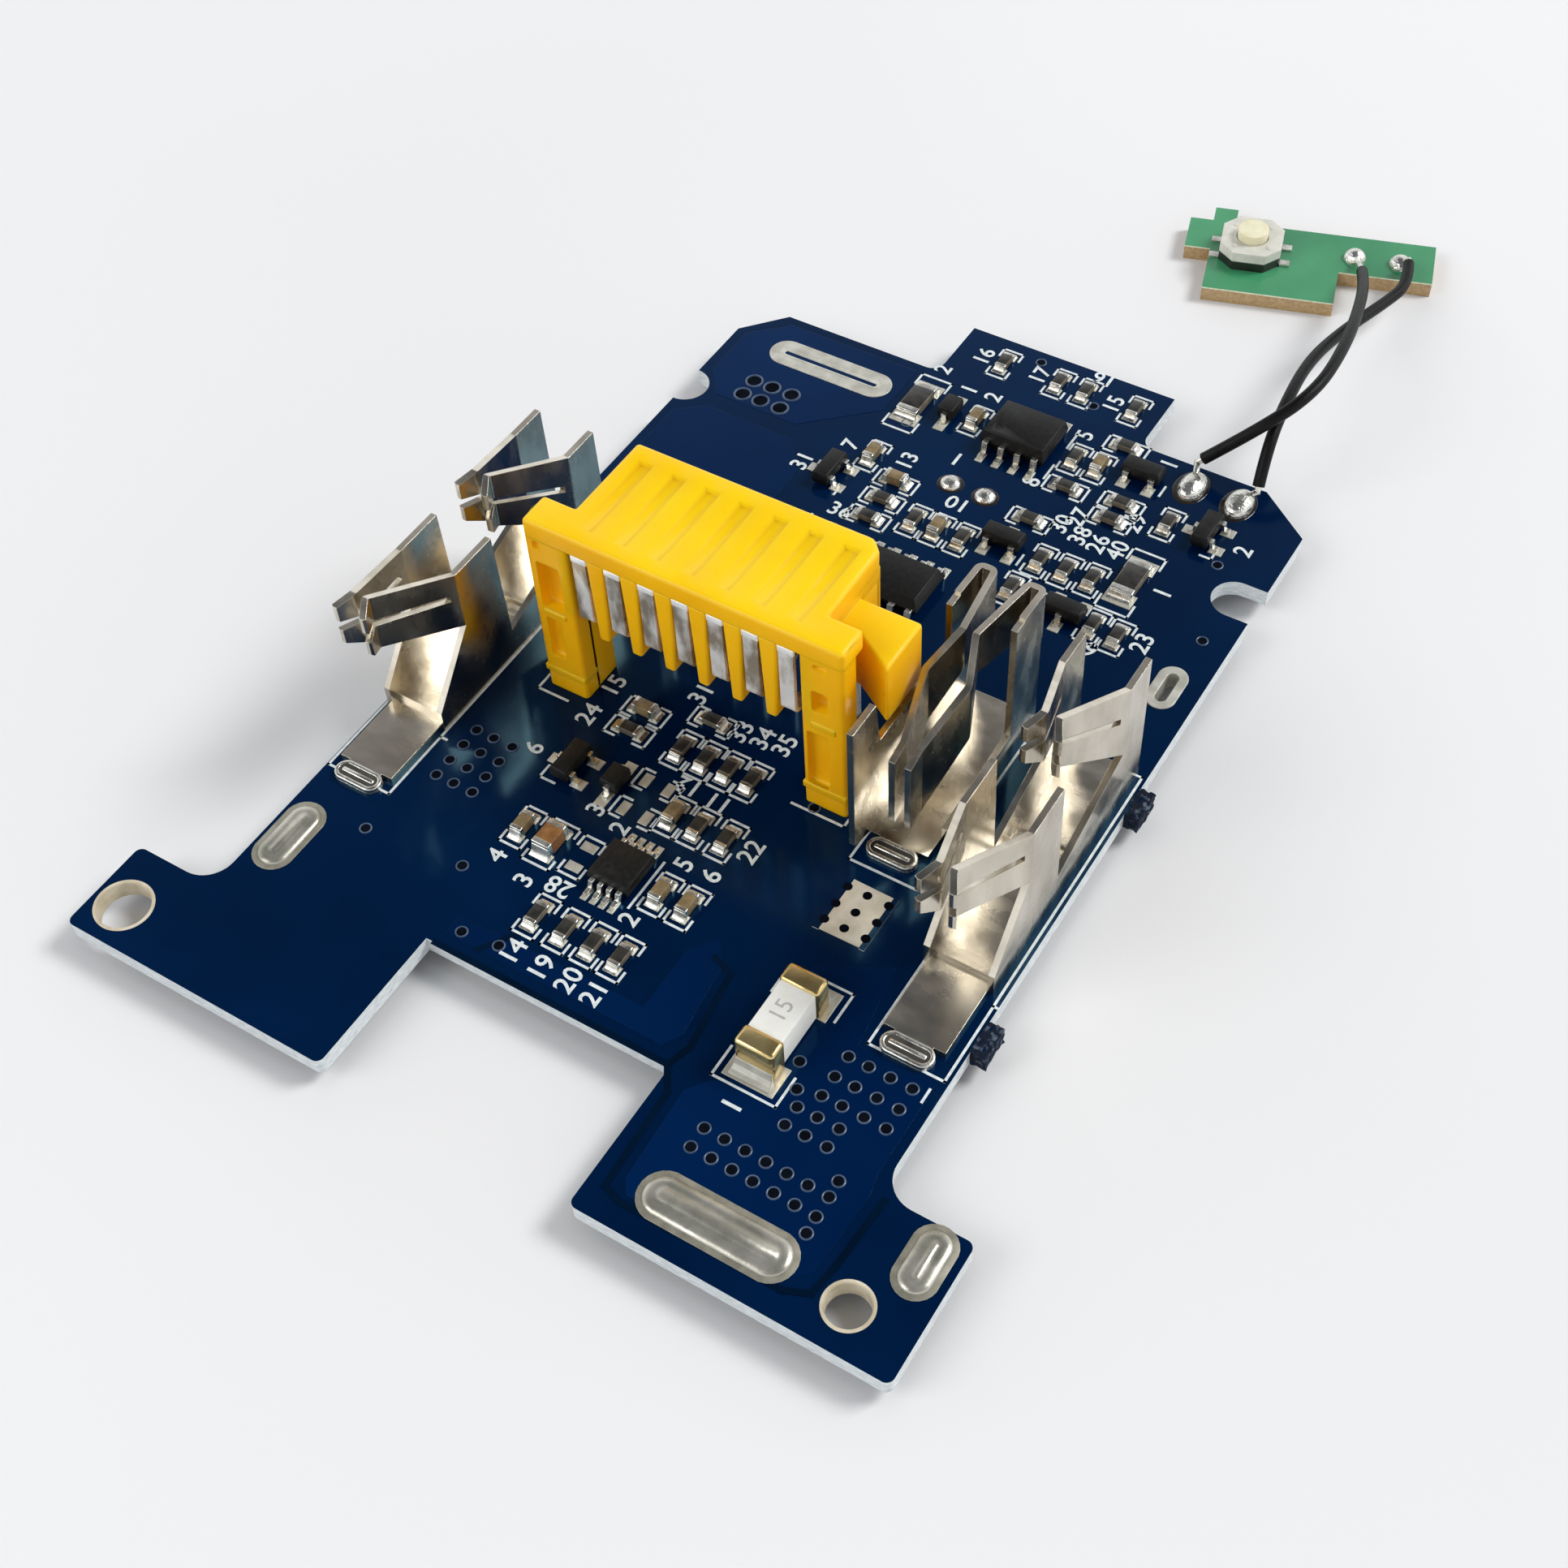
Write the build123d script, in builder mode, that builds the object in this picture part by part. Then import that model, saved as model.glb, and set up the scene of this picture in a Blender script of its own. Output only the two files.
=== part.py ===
from build123d import *
import math
import os

# Frame: the origin is the left screw hole's axis on the board's top face.
# +X runs across the two feet, +Y towards the rear tab, +Z is the component side.

# Board outline
board_t = 1.2
screw_spacing = 50.4
screw_left_r = 1.7
screw_right_r = 1.33
front_y = -2.65
foot_left_x = -2.2
foot_left_top_y = 3.82
foot_right_reach = 4.0
foot_right_top_y = 6.4
side_left_x = 3.6
board_w = 44.9
notch_left_x = 17.25
notch_w = 17.25
notch_y = 7.3
back_y = 65.95
corner_cut_y = 3.0
corner_cut_left = 2.65
corner_cut_right = 3.9
tab_left_x = 18.9
tab_w = 16.2
tab_y = 71.5
inner_corner_r = 2.0
outer_corner_r = 0.5
left_notch_y = 55.85
left_notch_r = 1.7
right_notch_y = 55.65
right_notch_r = 1.6
right_notch_depth = 3.2
stub_reach = 0.9
stub_w = 2.1
stub_places = (17.7, 37.1)
tail_reach = 1.0

# Plated slots
plating_t = 0.12
flange_t = 0.06
rear_slot_place = (11.95, 62.35)
rear_slot_l = 8.3
rear_slot_w = 0.9
edge_slot_place = (46.35, 46.45)
edge_slot_l = 2.6
edge_slot_w = 0.8
slot_rim = 0.85
edge_slot_rim = 0.6
filled_slots = (
    (screw_spacing - 8.3, 0.35, 8.3, 1.6, 0),
    (5.25, 9.1, 4.0, 1.2, 90),
    (screw_spacing + 2.2, 4.15, 3.1, 1.1, 90),
)
filled_rim = 0.8
solder_ridge = 0.3
solder_below = 0.4
solder_above = 0.15
solder_ridge_w = 0.6

# Small surface parts: places of their centres, along = long side on Y, across = long side on X
chip_l = 1.6
chip_w = 0.8
chip_h = 0.45
chip_end = 0.3
land_t = 0.05
land_out = 0.35
land_side = 0.12
capacitor_h = 0.75
resistors_along = (
    (22.75, 68.95), (27.2, 68.95), (29.3, 68.95), (33.2, 68.95), (31.75, 62.45), (40.1, 59.75),
    (25.0, 51.65), (28.7, 51.65), (34.2, 52.45), (36.1, 52.45), (38.0, 52.55), (39.9, 48.85),
    (41.7, 48.75), (33.7, 49.25), (22.4, 26.8), (24.2, 26.8), (25.9, 26.8), (27.6, 26.8),
    (26.7, 22.15), (28.7, 22.15), (22.0, 11.85), (24.1, 11.85), (26.1, 11.85), (28.0, 11.85),
)
resistors_across = (
    (34.35, 65.2), (32.5, 59.55), (36.55, 59.95), (36.55, 58.2), (22.1, 52.35), (22.1, 50.35),
    (31.8, 55.55), (18.7, 26.45), (22.9, 29.65),
)
capacitors_along = (
    (23.85, 62.55), (33.6, 62.45), (19.3, 55.85), (26.8, 51.65), (24.9, 22.15), (17.4, 16.85),
    (27.5, 16.85), (29.4, 16.85),
)
capacitors_across = ((22.05, 54.35), (18.7, 28.25))
big_capacitor_place = (19.6, 16.65)
big_capacitor_l = 2.0
big_capacitor_w = 1.25
big_capacitor_h = 1.1
shunts = ((19.3, 62.15), (40.3, 53.65))
shunt_l = 3.2
shunt_w = 1.6
shunt_h = 0.6
shunt_end = 0.55
bare_pads_across = ((22.7, 23.65), (22.7, 21.15))
bare_pads_along = ((21.8, 16.75),)
test_land = (38.2, 21.4, 3.2, 3.7)

# Leaded circuits: gull-wing leads
sop_body_w = 3.9
sop_body_h = 1.45
sop_pitch = 1.27
sop_span = 6.0
sop_lead_w = 0.42
lead_t = 0.2
lead_foot = 0.6
small_foot = 0.38
stand_off = 0.12
soic16_place = (24.8, 45.5)
soic16_l = 9.9
soic8_place = (27.85, 62.25)
soic8_l = 4.9
msop_place = (24.6, 17.0)
msop_body = 3.0
msop_body_h = 0.9
msop_pitch = 0.65
msop_span = 5.0
msop_lead_w = 0.3
sot_l = 2.9
sot_w = 1.3
sot_h = 1.0
sot_span = 2.5
sot_pitch = 0.95
sot_places = ((36.6, 63.15, 0), (42.8, 60.05, 90), (17.6, 52.85, 90), (31.3, 52.75, 0), (37.8, 48.85, 180),
              (17.2, 22.25, 90))
diode_places = ((21.9, 62.35), (20.4, 22.45))
diode_l = 1.7
diode_w = 1.25
diode_h = 0.95
diode_span = 2.6

# Fuse
fuse_place = (38.87, 12.27)
fuse_l = 6.1
fuse_w = 2.6
fuse_cap_l = 1.35
fuse_cap_wall = 0.15
fuse_land_l = 2.1
fuse_land_w = 3.35
fuse_land_out = 0.85

# Connector
contact_n = 7
contact_pitch = 2.405
contact_w = 1.0
contact_tail_w = 0.6
contact_t = 0.3
contact_drop = 5.4
contact_reach = 7.4
contact_set_back = 0.25
contact_fold_l = 1.4
contact_top_r = 0.35
contact_slope = (1.9, 0.9, 0.6)
conn_x = 23.0
conn_front_y = 27.3
conn_h = 14.64
slab_t = 2.24
slab_depth = 9.0
slab_margin = 1.55
bar_depth = 2.4
bar_t = 1.35
leg_w = 3.0
leg_depth = 1.4
web_w = 0.9
web_depth = 3.1
fin_w = 1.25
fin_tip_w = 0.7
fin_depth = 2.3
fin_bottom_z = 6.6
groove_w = 1.1
groove_depth = 0.28
groove_l = 6.7
groove_front = 1.0
wing_reach = 4.15
wing_top_z = 12.75
wing_t = 4.65
wing_depth = 3.6
wing_slant = 0.6
wing_notch = 1.2
corner_cut = 0.8
# recesses in the legs' fronts as (offset from the leg's middle, height of centre, width, height, depth)
left_leg_recesses = ((-0.63, 13.2, 0.5, 0.8, 0.35), (-0.03, 9.4, 1.7, 4.0, 0.9), (-0.23, 4.8, 1.1, 3.6, 0.45))
right_leg_recesses = ((-0.02, 12.95, 1.0, 0.5, 0.35), (-0.16, 9.7, 1.1, 1.8, 0.9), (-0.36, 4.35, 1.5, 4.9, 0.45))
peg_r = 0.8
rear_wall_t = 0.5
fit_clearance = 0.05

# Spring terminals
sheet_t = 0.42
terminal_half = 2.3
terminal_left_x = 6.2
terminal_right_x = 45.5
tail_y = 14.75
tail_w = 2.5
tail_slot_l = 3.4
tail_slot_w = 1.5
tongue_w = 4.0
tongue_end_y = 21.3
wall_start_y = 20.6
wall_end_y = 39.3
wall_start_h = 1.6
facet_y = (24.4, 36.3)
facet_l = (3.6, 2.7)
facet_foot_z = (6.3, 4.9)
facet_top_z = 10.7
saddle_z = 2.2
arm_reach = 5.7
arm_root_l = 0.8
arm_bend_r = 0.5
arm_slit_back = 0.6
arm_rise = 2.3
arm_slit_w = 0.5
arm_slit_rise = 0.6
pinch_gap = 0.45
pinch_h = 4.2
flare_l = 1.2
flare_out = 0.65
flare_h = 3.0
flare_drop = 0.5
base_rib_y = (29.6, 30.7, 31.8)
base_rib_w = 0.7
base_rib_h = 0.3

# Inner terminal
inner_x = 37.95
inner_half = 2.35
inner_tail_y = 26.15
inner_wall_end_y = 40.4
inner_facet_l = 2.6
inner_rear_l = 3.8
inner_top_z = 11.2
inner_mid_z = 7.7
inner_loop_w = 1.0
inner_pinch_reach = 5.3
inner_bulge_l = 2.6
inner_tip_l = (1.9, 3.3)
inner_tip_r = 0.35
inner_strip_tops = (0.3, -1.2, -3.1, -3.6)
inner_strip_feet = (2.1, 2.6, 5.5)
inner_foot_l = 3.6
inner_wall_foot = (1.2, 1.8)

# Switch board: its corner in plan and its turn
key_place = (27.75, 89.1)
key_turn = 17.1
key_t = 1.2
key_l = 18.71
key_back = 3.58
key_front = 0.93
key_step_l = 1.95
key_step_y = 4.74
key_step_end = 11.76
key_bump = (1.76, 3.5, 5.2)
key_switch = (5.0, 0.1)
key_joint_1 = (12.8, 1.0)
key_joint_2 = (16.2, 0.9)
tact_across = 4.6
tact_h = 1.5
tact_corner = 1.1
tact_leg_w = 0.6
tact_leg_out = 0.75
tact_leg_y = 0.95
plunger_r = 1.15
plunger_top = 2.2
plunger_flange_r = 1.5
plunger_flange_t = 0.35
plunger_clearance = 0.06
plunger_travel = 0.25
dome_t = 0.1
dome_r = 1.4

# Leads
wire_d = 0.85
core_d = 0.45
blob_1 = (40.0, 63.85)
blob_2 = (43.5, 63.85)
blob_r = 0.95
blob_l = 2.9
joint_r = 0.85
joint_h = 0.7
core_target = (0.3, 0.35)
core_sink = 0.2
route_a = (
    (39.91, 65.51, 1.3), (42.77, 66.82, 4.0), (45.29, 70.32, 5.8), (45.09, 76.23, 5.4),
    (43.53, 83.72, 3.2), (42.11, 88.75, 1.2), (41.13, 91.24, 0.1),
)
route_b = (
    (44.15, 65.28, 0.9), (43.84, 66.75, 3.1), (43.4, 70.24, 4.0), (42.68, 76.39, 3.0),
    (42.98, 82.56, 1.4), (44.1, 88.3, 0.35), (44.7, 91.4, 0.1), (43.75, 94.0, -0.1),
)

# Thermistor under the board
bead_r = 0.45
bead_gap = 0.1
bead_lead_d = 0.3
bead_joint_r = 0.75
bead_joints = ((25.4, 56.1), (28.1, 56.1))

# Derived places
side_right_x = side_left_x + board_w
foot_right_x = screw_spacing + foot_right_reach
right_corner_r = min(inner_corner_r, 0.8 * (foot_right_x - side_right_x))
notch_right_x = notch_left_x + notch_w
tab_right_x = tab_left_x + tab_w
bottom_z = -board_t
rest_z = -board_t - tail_reach
contact_xs = [conn_x + (i - (contact_n - 1) / 2) * contact_pitch for i in range(contact_n)]
slab_half = contact_pitch * (contact_n - 1) / 2 + slab_margin
leg_out = slab_half + 2.35
leg_x = leg_out - leg_w / 2
conn_back_y = conn_front_y + slab_depth
contact_top_z = conn_h - bar_t - fit_clearance
contact_front_y = conn_front_y + contact_set_back
contact_tail_y = conn_front_y + contact_reach
key_plane = Plane(
    origin=(key_place[0], key_place[1], rest_z + key_t),
    x_dir=(math.cos(math.radians(key_turn)), math.sin(math.radians(key_turn)), 0),
    z_dir=(0, 0, 1),
)


def write(part, name):
    part.label = name
    export_step(part, f"parts/{name}.step")


os.makedirs("parts", exist_ok=True)

# Main board: outline, feet, notches, screw holes, slots and the holes that carry tails
with BuildPart() as main_board:
    with BuildSketch(Plane.XY.offset(bottom_z)):
        with BuildLine():
            Polyline(
                (foot_left_x, front_y),
                (notch_left_x, front_y),
                (notch_left_x, notch_y),
                (notch_right_x, notch_y),
                (notch_right_x, front_y),
                (foot_right_x, front_y),
                (foot_right_x, foot_right_top_y),
                (side_right_x, foot_right_top_y),
                (side_right_x, back_y - corner_cut_y),
                (side_right_x - corner_cut_right, back_y),
                (tab_right_x, back_y),
                (tab_right_x, tab_y),
                (tab_left_x, tab_y),
                (tab_left_x, back_y),
                (side_left_x + corner_cut_left, back_y),
                (side_left_x, back_y - corner_cut_y),
                (side_left_x, foot_left_top_y),
                (foot_left_x, foot_left_top_y),
                close=True,
            )
        make_face()
    extrude(amount=board_t)
    uprights = main_board.edges().filter_by(Axis.Z)
    left_corner = [e for e in uprights
                   if abs(e.center().X - side_left_x) < 0.1 and abs(e.center().Y - foot_left_top_y) < 0.1]
    right_corner = [e for e in uprights
                    if abs(e.center().X - side_right_x) < 0.1 and abs(e.center().Y - foot_right_top_y) < 0.1]
    tab_corners = [e for e in uprights if abs(e.center().Y - back_y) < 0.1 and
                   min(abs(e.center().X - tab_left_x), abs(e.center().X - tab_right_x)) < 0.1]
    foot_corners = [e for e in uprights if e.center().Y < foot_right_top_y + 0.1
                    and e not in left_corner + right_corner]
    fillet(left_corner, radius=inner_corner_r)
    fillet(right_corner, radius=right_corner_r)
    fillet(tab_corners, radius=inner_corner_r / 2)
    fillet(foot_corners, radius=outer_corner_r)
    with Locations(*[(side_right_x + stub_reach / 2, y, 0) for y in stub_places]):
        Box(stub_reach, stub_w, board_t, align=(Align.CENTER, Align.CENTER, Align.MAX))
    with BuildSketch(Plane.XY):
        with Locations((0, 0)):
            Circle(screw_left_r)
        with Locations((screw_spacing, 0)):
            Circle(screw_right_r)
        with Locations((side_left_x, left_notch_y)):
            Circle(left_notch_r)
        with Locations((side_right_x - right_notch_depth / 2 + right_notch_r, right_notch_y)):
            SlotOverall(right_notch_depth + 2 * right_notch_r, 2 * right_notch_r)
        with Locations(rear_slot_place):
            SlotOverall(rear_slot_l + 2 * plating_t, rear_slot_w + 2 * plating_t)
        with Locations(edge_slot_place):
            SlotOverall(edge_slot_l + 2 * plating_t, edge_slot_w + 2 * plating_t, rotation=90)
        for x, y, length, width, turn in filled_slots:
            with Locations((x, y)):
                SlotOverall(length, width, rotation=turn)
        with Locations((terminal_left_x, tail_y), (terminal_right_x, tail_y), (inner_x, inner_tail_y)):
            SlotOverall(tail_slot_l, tail_slot_w)
        with Locations((conn_x - leg_x, conn_front_y + leg_depth / 2 + fit_clearance),
                       (conn_x + leg_x, conn_front_y + leg_depth / 2 + fit_clearance)):
            Circle(min(peg_r, leg_depth / 2) - fit_clearance)
        with Locations(*[(x, contact_tail_y) for x in contact_xs]):
            Rectangle(contact_tail_w + 2 * fit_clearance, contact_t + 2 * fit_clearance)
        with Locations(*bead_joints):
            Circle(bead_lead_d / 2 + fit_clearance)
    extrude(amount=-board_t, mode=Mode.SUBTRACT)
write(main_board.part, "main_board")

# Open slots: plated barrel with a tinned flange on both faces
with BuildPart() as slot_plating:
    for place, length, width, rim, turn in (
        (rear_slot_place, rear_slot_l, rear_slot_w, slot_rim, 0),
        (edge_slot_place, edge_slot_l, edge_slot_w, edge_slot_rim, 90),
    ):
        for start, thick in ((0, flange_t), (bottom_z - flange_t, flange_t)):
            with BuildSketch(Plane.XY.offset(start)):
                with Locations(place):
                    SlotOverall(length + 2 * rim, width + 2 * rim, rotation=turn)
            extrude(amount=thick)
        with BuildSketch(Plane.XY.offset(bottom_z)):
            with Locations(place):
                SlotOverall(length + 2 * plating_t, width + 2 * plating_t, rotation=turn)
        extrude(amount=board_t)
        with BuildSketch(Plane.XY.offset(flange_t)):
            with Locations(place):
                SlotOverall(length, width, rotation=turn)
        extrude(amount=-board_t - 2 * flange_t, mode=Mode.SUBTRACT)
write(slot_plating.part, "slot_plating")

# Solder-filled slots: plug through the board, flat rim and a ridge along the middle
with BuildPart() as slot_solder:
    for x, y, length, width, turn in filled_slots:
        with BuildSketch(Plane.XY.offset(bottom_z)):
            with Locations((x, y)):
                SlotOverall(length, width, rotation=turn)
        extrude(amount=board_t)
        with BuildSketch(Plane.XY):
            with Locations((x, y)):
                SlotOverall(length + filled_rim * 2, width + filled_rim * 2, rotation=turn)
        extrude(amount=flange_t)
        with BuildSketch(Plane.XY.offset(flange_t)):
            with Locations((x, y)):
                Rectangle(length - width, solder_ridge_w, rotation=turn)
        extrude(amount=solder_ridge, taper=30)
write(slot_solder.part, "slot_solder")


# Chip parts: a body between two wrapped end caps, on two tinned lands
def chips(body_name, end_name, along, across, length, width, height, end):
    """Writes bodies and end caps of like chips, their long sides on Y (along) or X (across)."""
    with BuildPart() as bodies:
        with Locations(*[(x, y, land_t) for x, y in along]):
            Box(width, length - 2 * end, height, align=(Align.CENTER, Align.CENTER, Align.MIN))
        if across:
            with Locations(*[(x, y, land_t) for x, y in across]):
                Box(length - 2 * end, width, height, align=(Align.CENTER, Align.CENTER, Align.MIN))
    shift = (length - end) / 2
    with BuildPart() as ends:
        with Locations(*[(x, y + s * shift, land_t) for x, y in along for s in (-1, 1)]):
            Box(width, end, height, align=(Align.CENTER, Align.CENTER, Align.MIN))
        if across:
            with Locations(*[(x + s * shift, y, land_t) for x, y in across for s in (-1, 1)]):
                Box(end, width, height, align=(Align.CENTER, Align.CENTER, Align.MIN))
    write(bodies.part, body_name)
    write(ends.part, end_name)


chips("resistor_bodies", "resistor_ends", resistors_along, resistors_across, chip_l, chip_w, chip_h, chip_end)
chips("capacitor_bodies", "capacitor_ends", capacitors_along, capacitors_across, chip_l, chip_w, capacitor_h,
      chip_end)
chips("big_capacitor_body", "big_capacitor_ends", (big_capacitor_place,), (), big_capacitor_l,
      big_capacitor_w, big_capacitor_h, chip_end)
chips("shunt_bodies", "shunt_ends", shunts, (), shunt_l, shunt_w, shunt_h, shunt_end)


# Leaded circuits: tapered moulded body and gull-wing leads in two rows
def circuit_body(length, width, height, places):
    """Bodies as two tapers that meet at the leads, each at (x, y, turn)."""
    middle = land_t + stand_off + height / 2
    with BuildPart() as bodies:
        for x, y, turn in places:
            plane = Plane((x, y, middle)).rotated((0, 0, turn))
            with BuildSketch(plane):
                Rectangle(length, width)
            extrude(amount=height / 2, taper=8)
            with BuildSketch(plane):
                Rectangle(length, width)
            extrude(amount=-height / 2, taper=8)
    return bodies.part


def gull_lead(body_w, span, height, lead_w, foot):
    """One lead at x = 0 on the -Y side, from the body's edge down to its foot."""
    middle = land_t + stand_off + height / 2
    knee = -(span / 2 - foot)
    shoulder = -(body_w / 2 + (span - body_w) / 2 * 0.25)
    with BuildPart() as lead:
        with BuildSketch(Plane.YZ):
            with BuildLine():
                Polyline(
                    (-body_w / 2, middle + lead_t / 2),
                    (shoulder - lead_t / 2, middle + lead_t / 2),
                    (knee - lead_t / 2, land_t + lead_t),
                    (-span / 2, land_t + lead_t),
                    (-span / 2, land_t),
                    (knee + lead_t / 2, land_t),
                    (shoulder + lead_t / 2, middle - lead_t / 2),
                    (-body_w / 2, middle - lead_t / 2),
                    close=True,
                )
            make_face()
        extrude(amount=lead_w / 2, both=True)
    return lead.part


def lead_rows(name, places, body_w, span, height, lead_w, front, rear, foot=lead_foot):
    """Leads at the x offsets front (-Y side) and rear (+Y side) of each (x, y, turn)."""
    lead = gull_lead(body_w, span, height, lead_w, foot)
    with BuildPart() as rows:
        for x, y, turn in places:
            spots = [Pos(x, y, 0) * Rot(0, 0, turn) * Pos(dx, 0, 0) for dx in front]
            spots += [Pos(x, y, 0) * Rot(0, 0, turn + 180) * Pos(dx, 0, 0) for dx in rear]
            for spot in spots:
                add(spot * lead)
    write(rows.part, name)


def row_offsets(count, pitch):
    return [(i - (count - 1) / 2) * pitch for i in range(count)]


write(circuit_body(soic16_l, sop_body_w, sop_body_h, [(*soic16_place, 0)]), "soic16_body")
lead_rows("soic16_leads", [(*soic16_place, 0)], sop_body_w, sop_span, sop_body_h, sop_lead_w,
          row_offsets(8, sop_pitch), row_offsets(8, sop_pitch))
write(circuit_body(soic8_l, sop_body_w, sop_body_h, [(*soic8_place, 0)]), "soic8_body")
lead_rows("soic8_leads", [(*soic8_place, 0)], sop_body_w, sop_span, sop_body_h, sop_lead_w,
          row_offsets(4, sop_pitch), row_offsets(4, sop_pitch))
write(circuit_body(msop_body, msop_body, msop_body_h, [(*msop_place, 0)]), "msop8_body")
lead_rows("msop8_leads", [(*msop_place, 0)], msop_body, msop_span, msop_body_h, msop_lead_w,
          row_offsets(4, msop_pitch), row_offsets(4, msop_pitch))
write(circuit_body(sot_l, sot_w, sot_h, sot_places), "sot23_bodies")
lead_rows("sot23_leads", sot_places, sot_w, sot_span, sot_h, sop_lead_w, [-sot_pitch, sot_pitch], [0],
          small_foot)
diode_spots = [(x, y, 0) for x, y in diode_places]
write(circuit_body(diode_w, diode_l, diode_h, diode_spots), "diode_bodies")
lead_rows("diode_leads", diode_spots, diode_l, diode_span, diode_h, sop_lead_w, [0], [0], small_foot)

# Tinned lands under the surface parts
with BuildPart() as solder_lands:
    chip_land = chip_end + land_out
    chip_land_y = chip_l / 2 + land_out - chip_land / 2
    with BuildSketch(Plane.XY):
        with Locations(*[(x, y + s * chip_land_y) for s in (-1, 1)
                         for x, y in resistors_along + capacitors_along + bare_pads_along]):
            Rectangle(chip_w + 2 * land_side, chip_land)
        with Locations(*[(x + s * chip_land_y, y) for s in (-1, 1)
                         for x, y in resistors_across + capacitors_across + bare_pads_across]):
            Rectangle(chip_land, chip_w + 2 * land_side)
        big_land_y = big_capacitor_l / 2 + land_out - chip_land / 2
        with Locations(*[(big_capacitor_place[0], big_capacitor_place[1] + s * big_land_y) for s in (-1, 1)]):
            Rectangle(big_capacitor_w + 2 * land_side, chip_land)
        shunt_land = shunt_end + land_out * 2
        shunt_land_y = shunt_l / 2 + land_out * 2 - shunt_land / 2
        with Locations(*[(x, y + s * shunt_land_y) for s in (-1, 1) for x, y in shunts]):
            Rectangle(shunt_w + 4 * land_side, shunt_land)
        for place, count, pitch, span, foot_w in (
            (soic16_place, 8, sop_pitch, sop_span, sop_lead_w),
            (soic8_place, 4, sop_pitch, sop_span, sop_lead_w),
            (msop_place, 4, msop_pitch, msop_span, msop_lead_w),
        ):
            with Locations(*[(place[0] + dx, place[1] + s * (span / 2 - lead_foot / 2 + land_side))
                             for dx in row_offsets(count, pitch) for s in (-1, 1)]):
                Rectangle(foot_w + land_side, lead_foot + 3 * land_side)
        foot_y = sot_span / 2 - small_foot / 2 + land_side
        for x, y, turn in sot_places:
            for dx, dy in ((-sot_pitch, -foot_y), (sot_pitch, -foot_y), (0, foot_y)):
                spot = Vector(dx, dy).rotate(Axis.Z, turn)
                with Locations((x + spot.X, y + spot.Y)):
                    Rectangle(sop_lead_w + 3 * land_side, lead_foot + 3 * land_side, rotation=turn)
        with Locations(*[(x, y + s * diode_span / 2) for s in (-1, 1) for x, y in diode_places]):
            Rectangle(chip_w, chip_land + lead_foot)
        fuse_land_y = fuse_l / 2 + fuse_land_out - fuse_land_l / 2
        with Locations(*[(fuse_place[0], fuse_place[1] + s * fuse_land_y) for s in (-1, 1)]):
            Rectangle(fuse_land_w, fuse_land_l)
        with Locations(test_land[:2]):
            RectangleRounded(test_land[2], test_land[3], land_out)
    extrude(amount=land_t)
write(solder_lands.part, "solder_lands")

# Fuse: square ceramic tube between two pressed metal caps
with BuildPart() as fuse_caps:
    with Locations(*[(fuse_place[0], fuse_place[1] + s * (fuse_l - fuse_cap_l) / 2, land_t) for s in (-1, 1)]):
        Box(fuse_w, fuse_cap_l, fuse_w, align=(Align.CENTER, Align.CENTER, Align.MIN))
    with Locations((fuse_place[0], fuse_place[1], land_t + fuse_cap_wall)):
        Box(fuse_w - 2 * fuse_cap_wall, fuse_l - 2 * fuse_cap_wall, fuse_w - 2 * fuse_cap_wall,
            align=(Align.CENTER, Align.CENTER, Align.MIN), mode=Mode.SUBTRACT)
write(fuse_caps.part, "fuse_caps")
with BuildPart() as fuse_body:
    with Locations((fuse_place[0], fuse_place[1], land_t + fuse_cap_wall)):
        Box(fuse_w - 2 * fuse_cap_wall, fuse_l - 2 * fuse_cap_wall, fuse_w - 2 * fuse_cap_wall,
            align=(Align.CENTER, Align.CENTER, Align.MIN))
write(fuse_body.part, "fuse_body")

# Groove in the housing's top, deepest at its rear end
with BuildPart() as groove:
    with BuildSketch(Plane.YZ):
        with BuildLine():
            Polyline(
                (conn_front_y + groove_front, conn_h + fit_clearance),
                (conn_front_y + groove_front, conn_h),
                (conn_front_y + groove_front + groove_l, conn_h - groove_depth),
                (conn_front_y + groove_front + groove_l, conn_h + fit_clearance),
                close=True,
            )
        make_face()
    extrude(amount=groove_w / 2, both=True)

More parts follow.
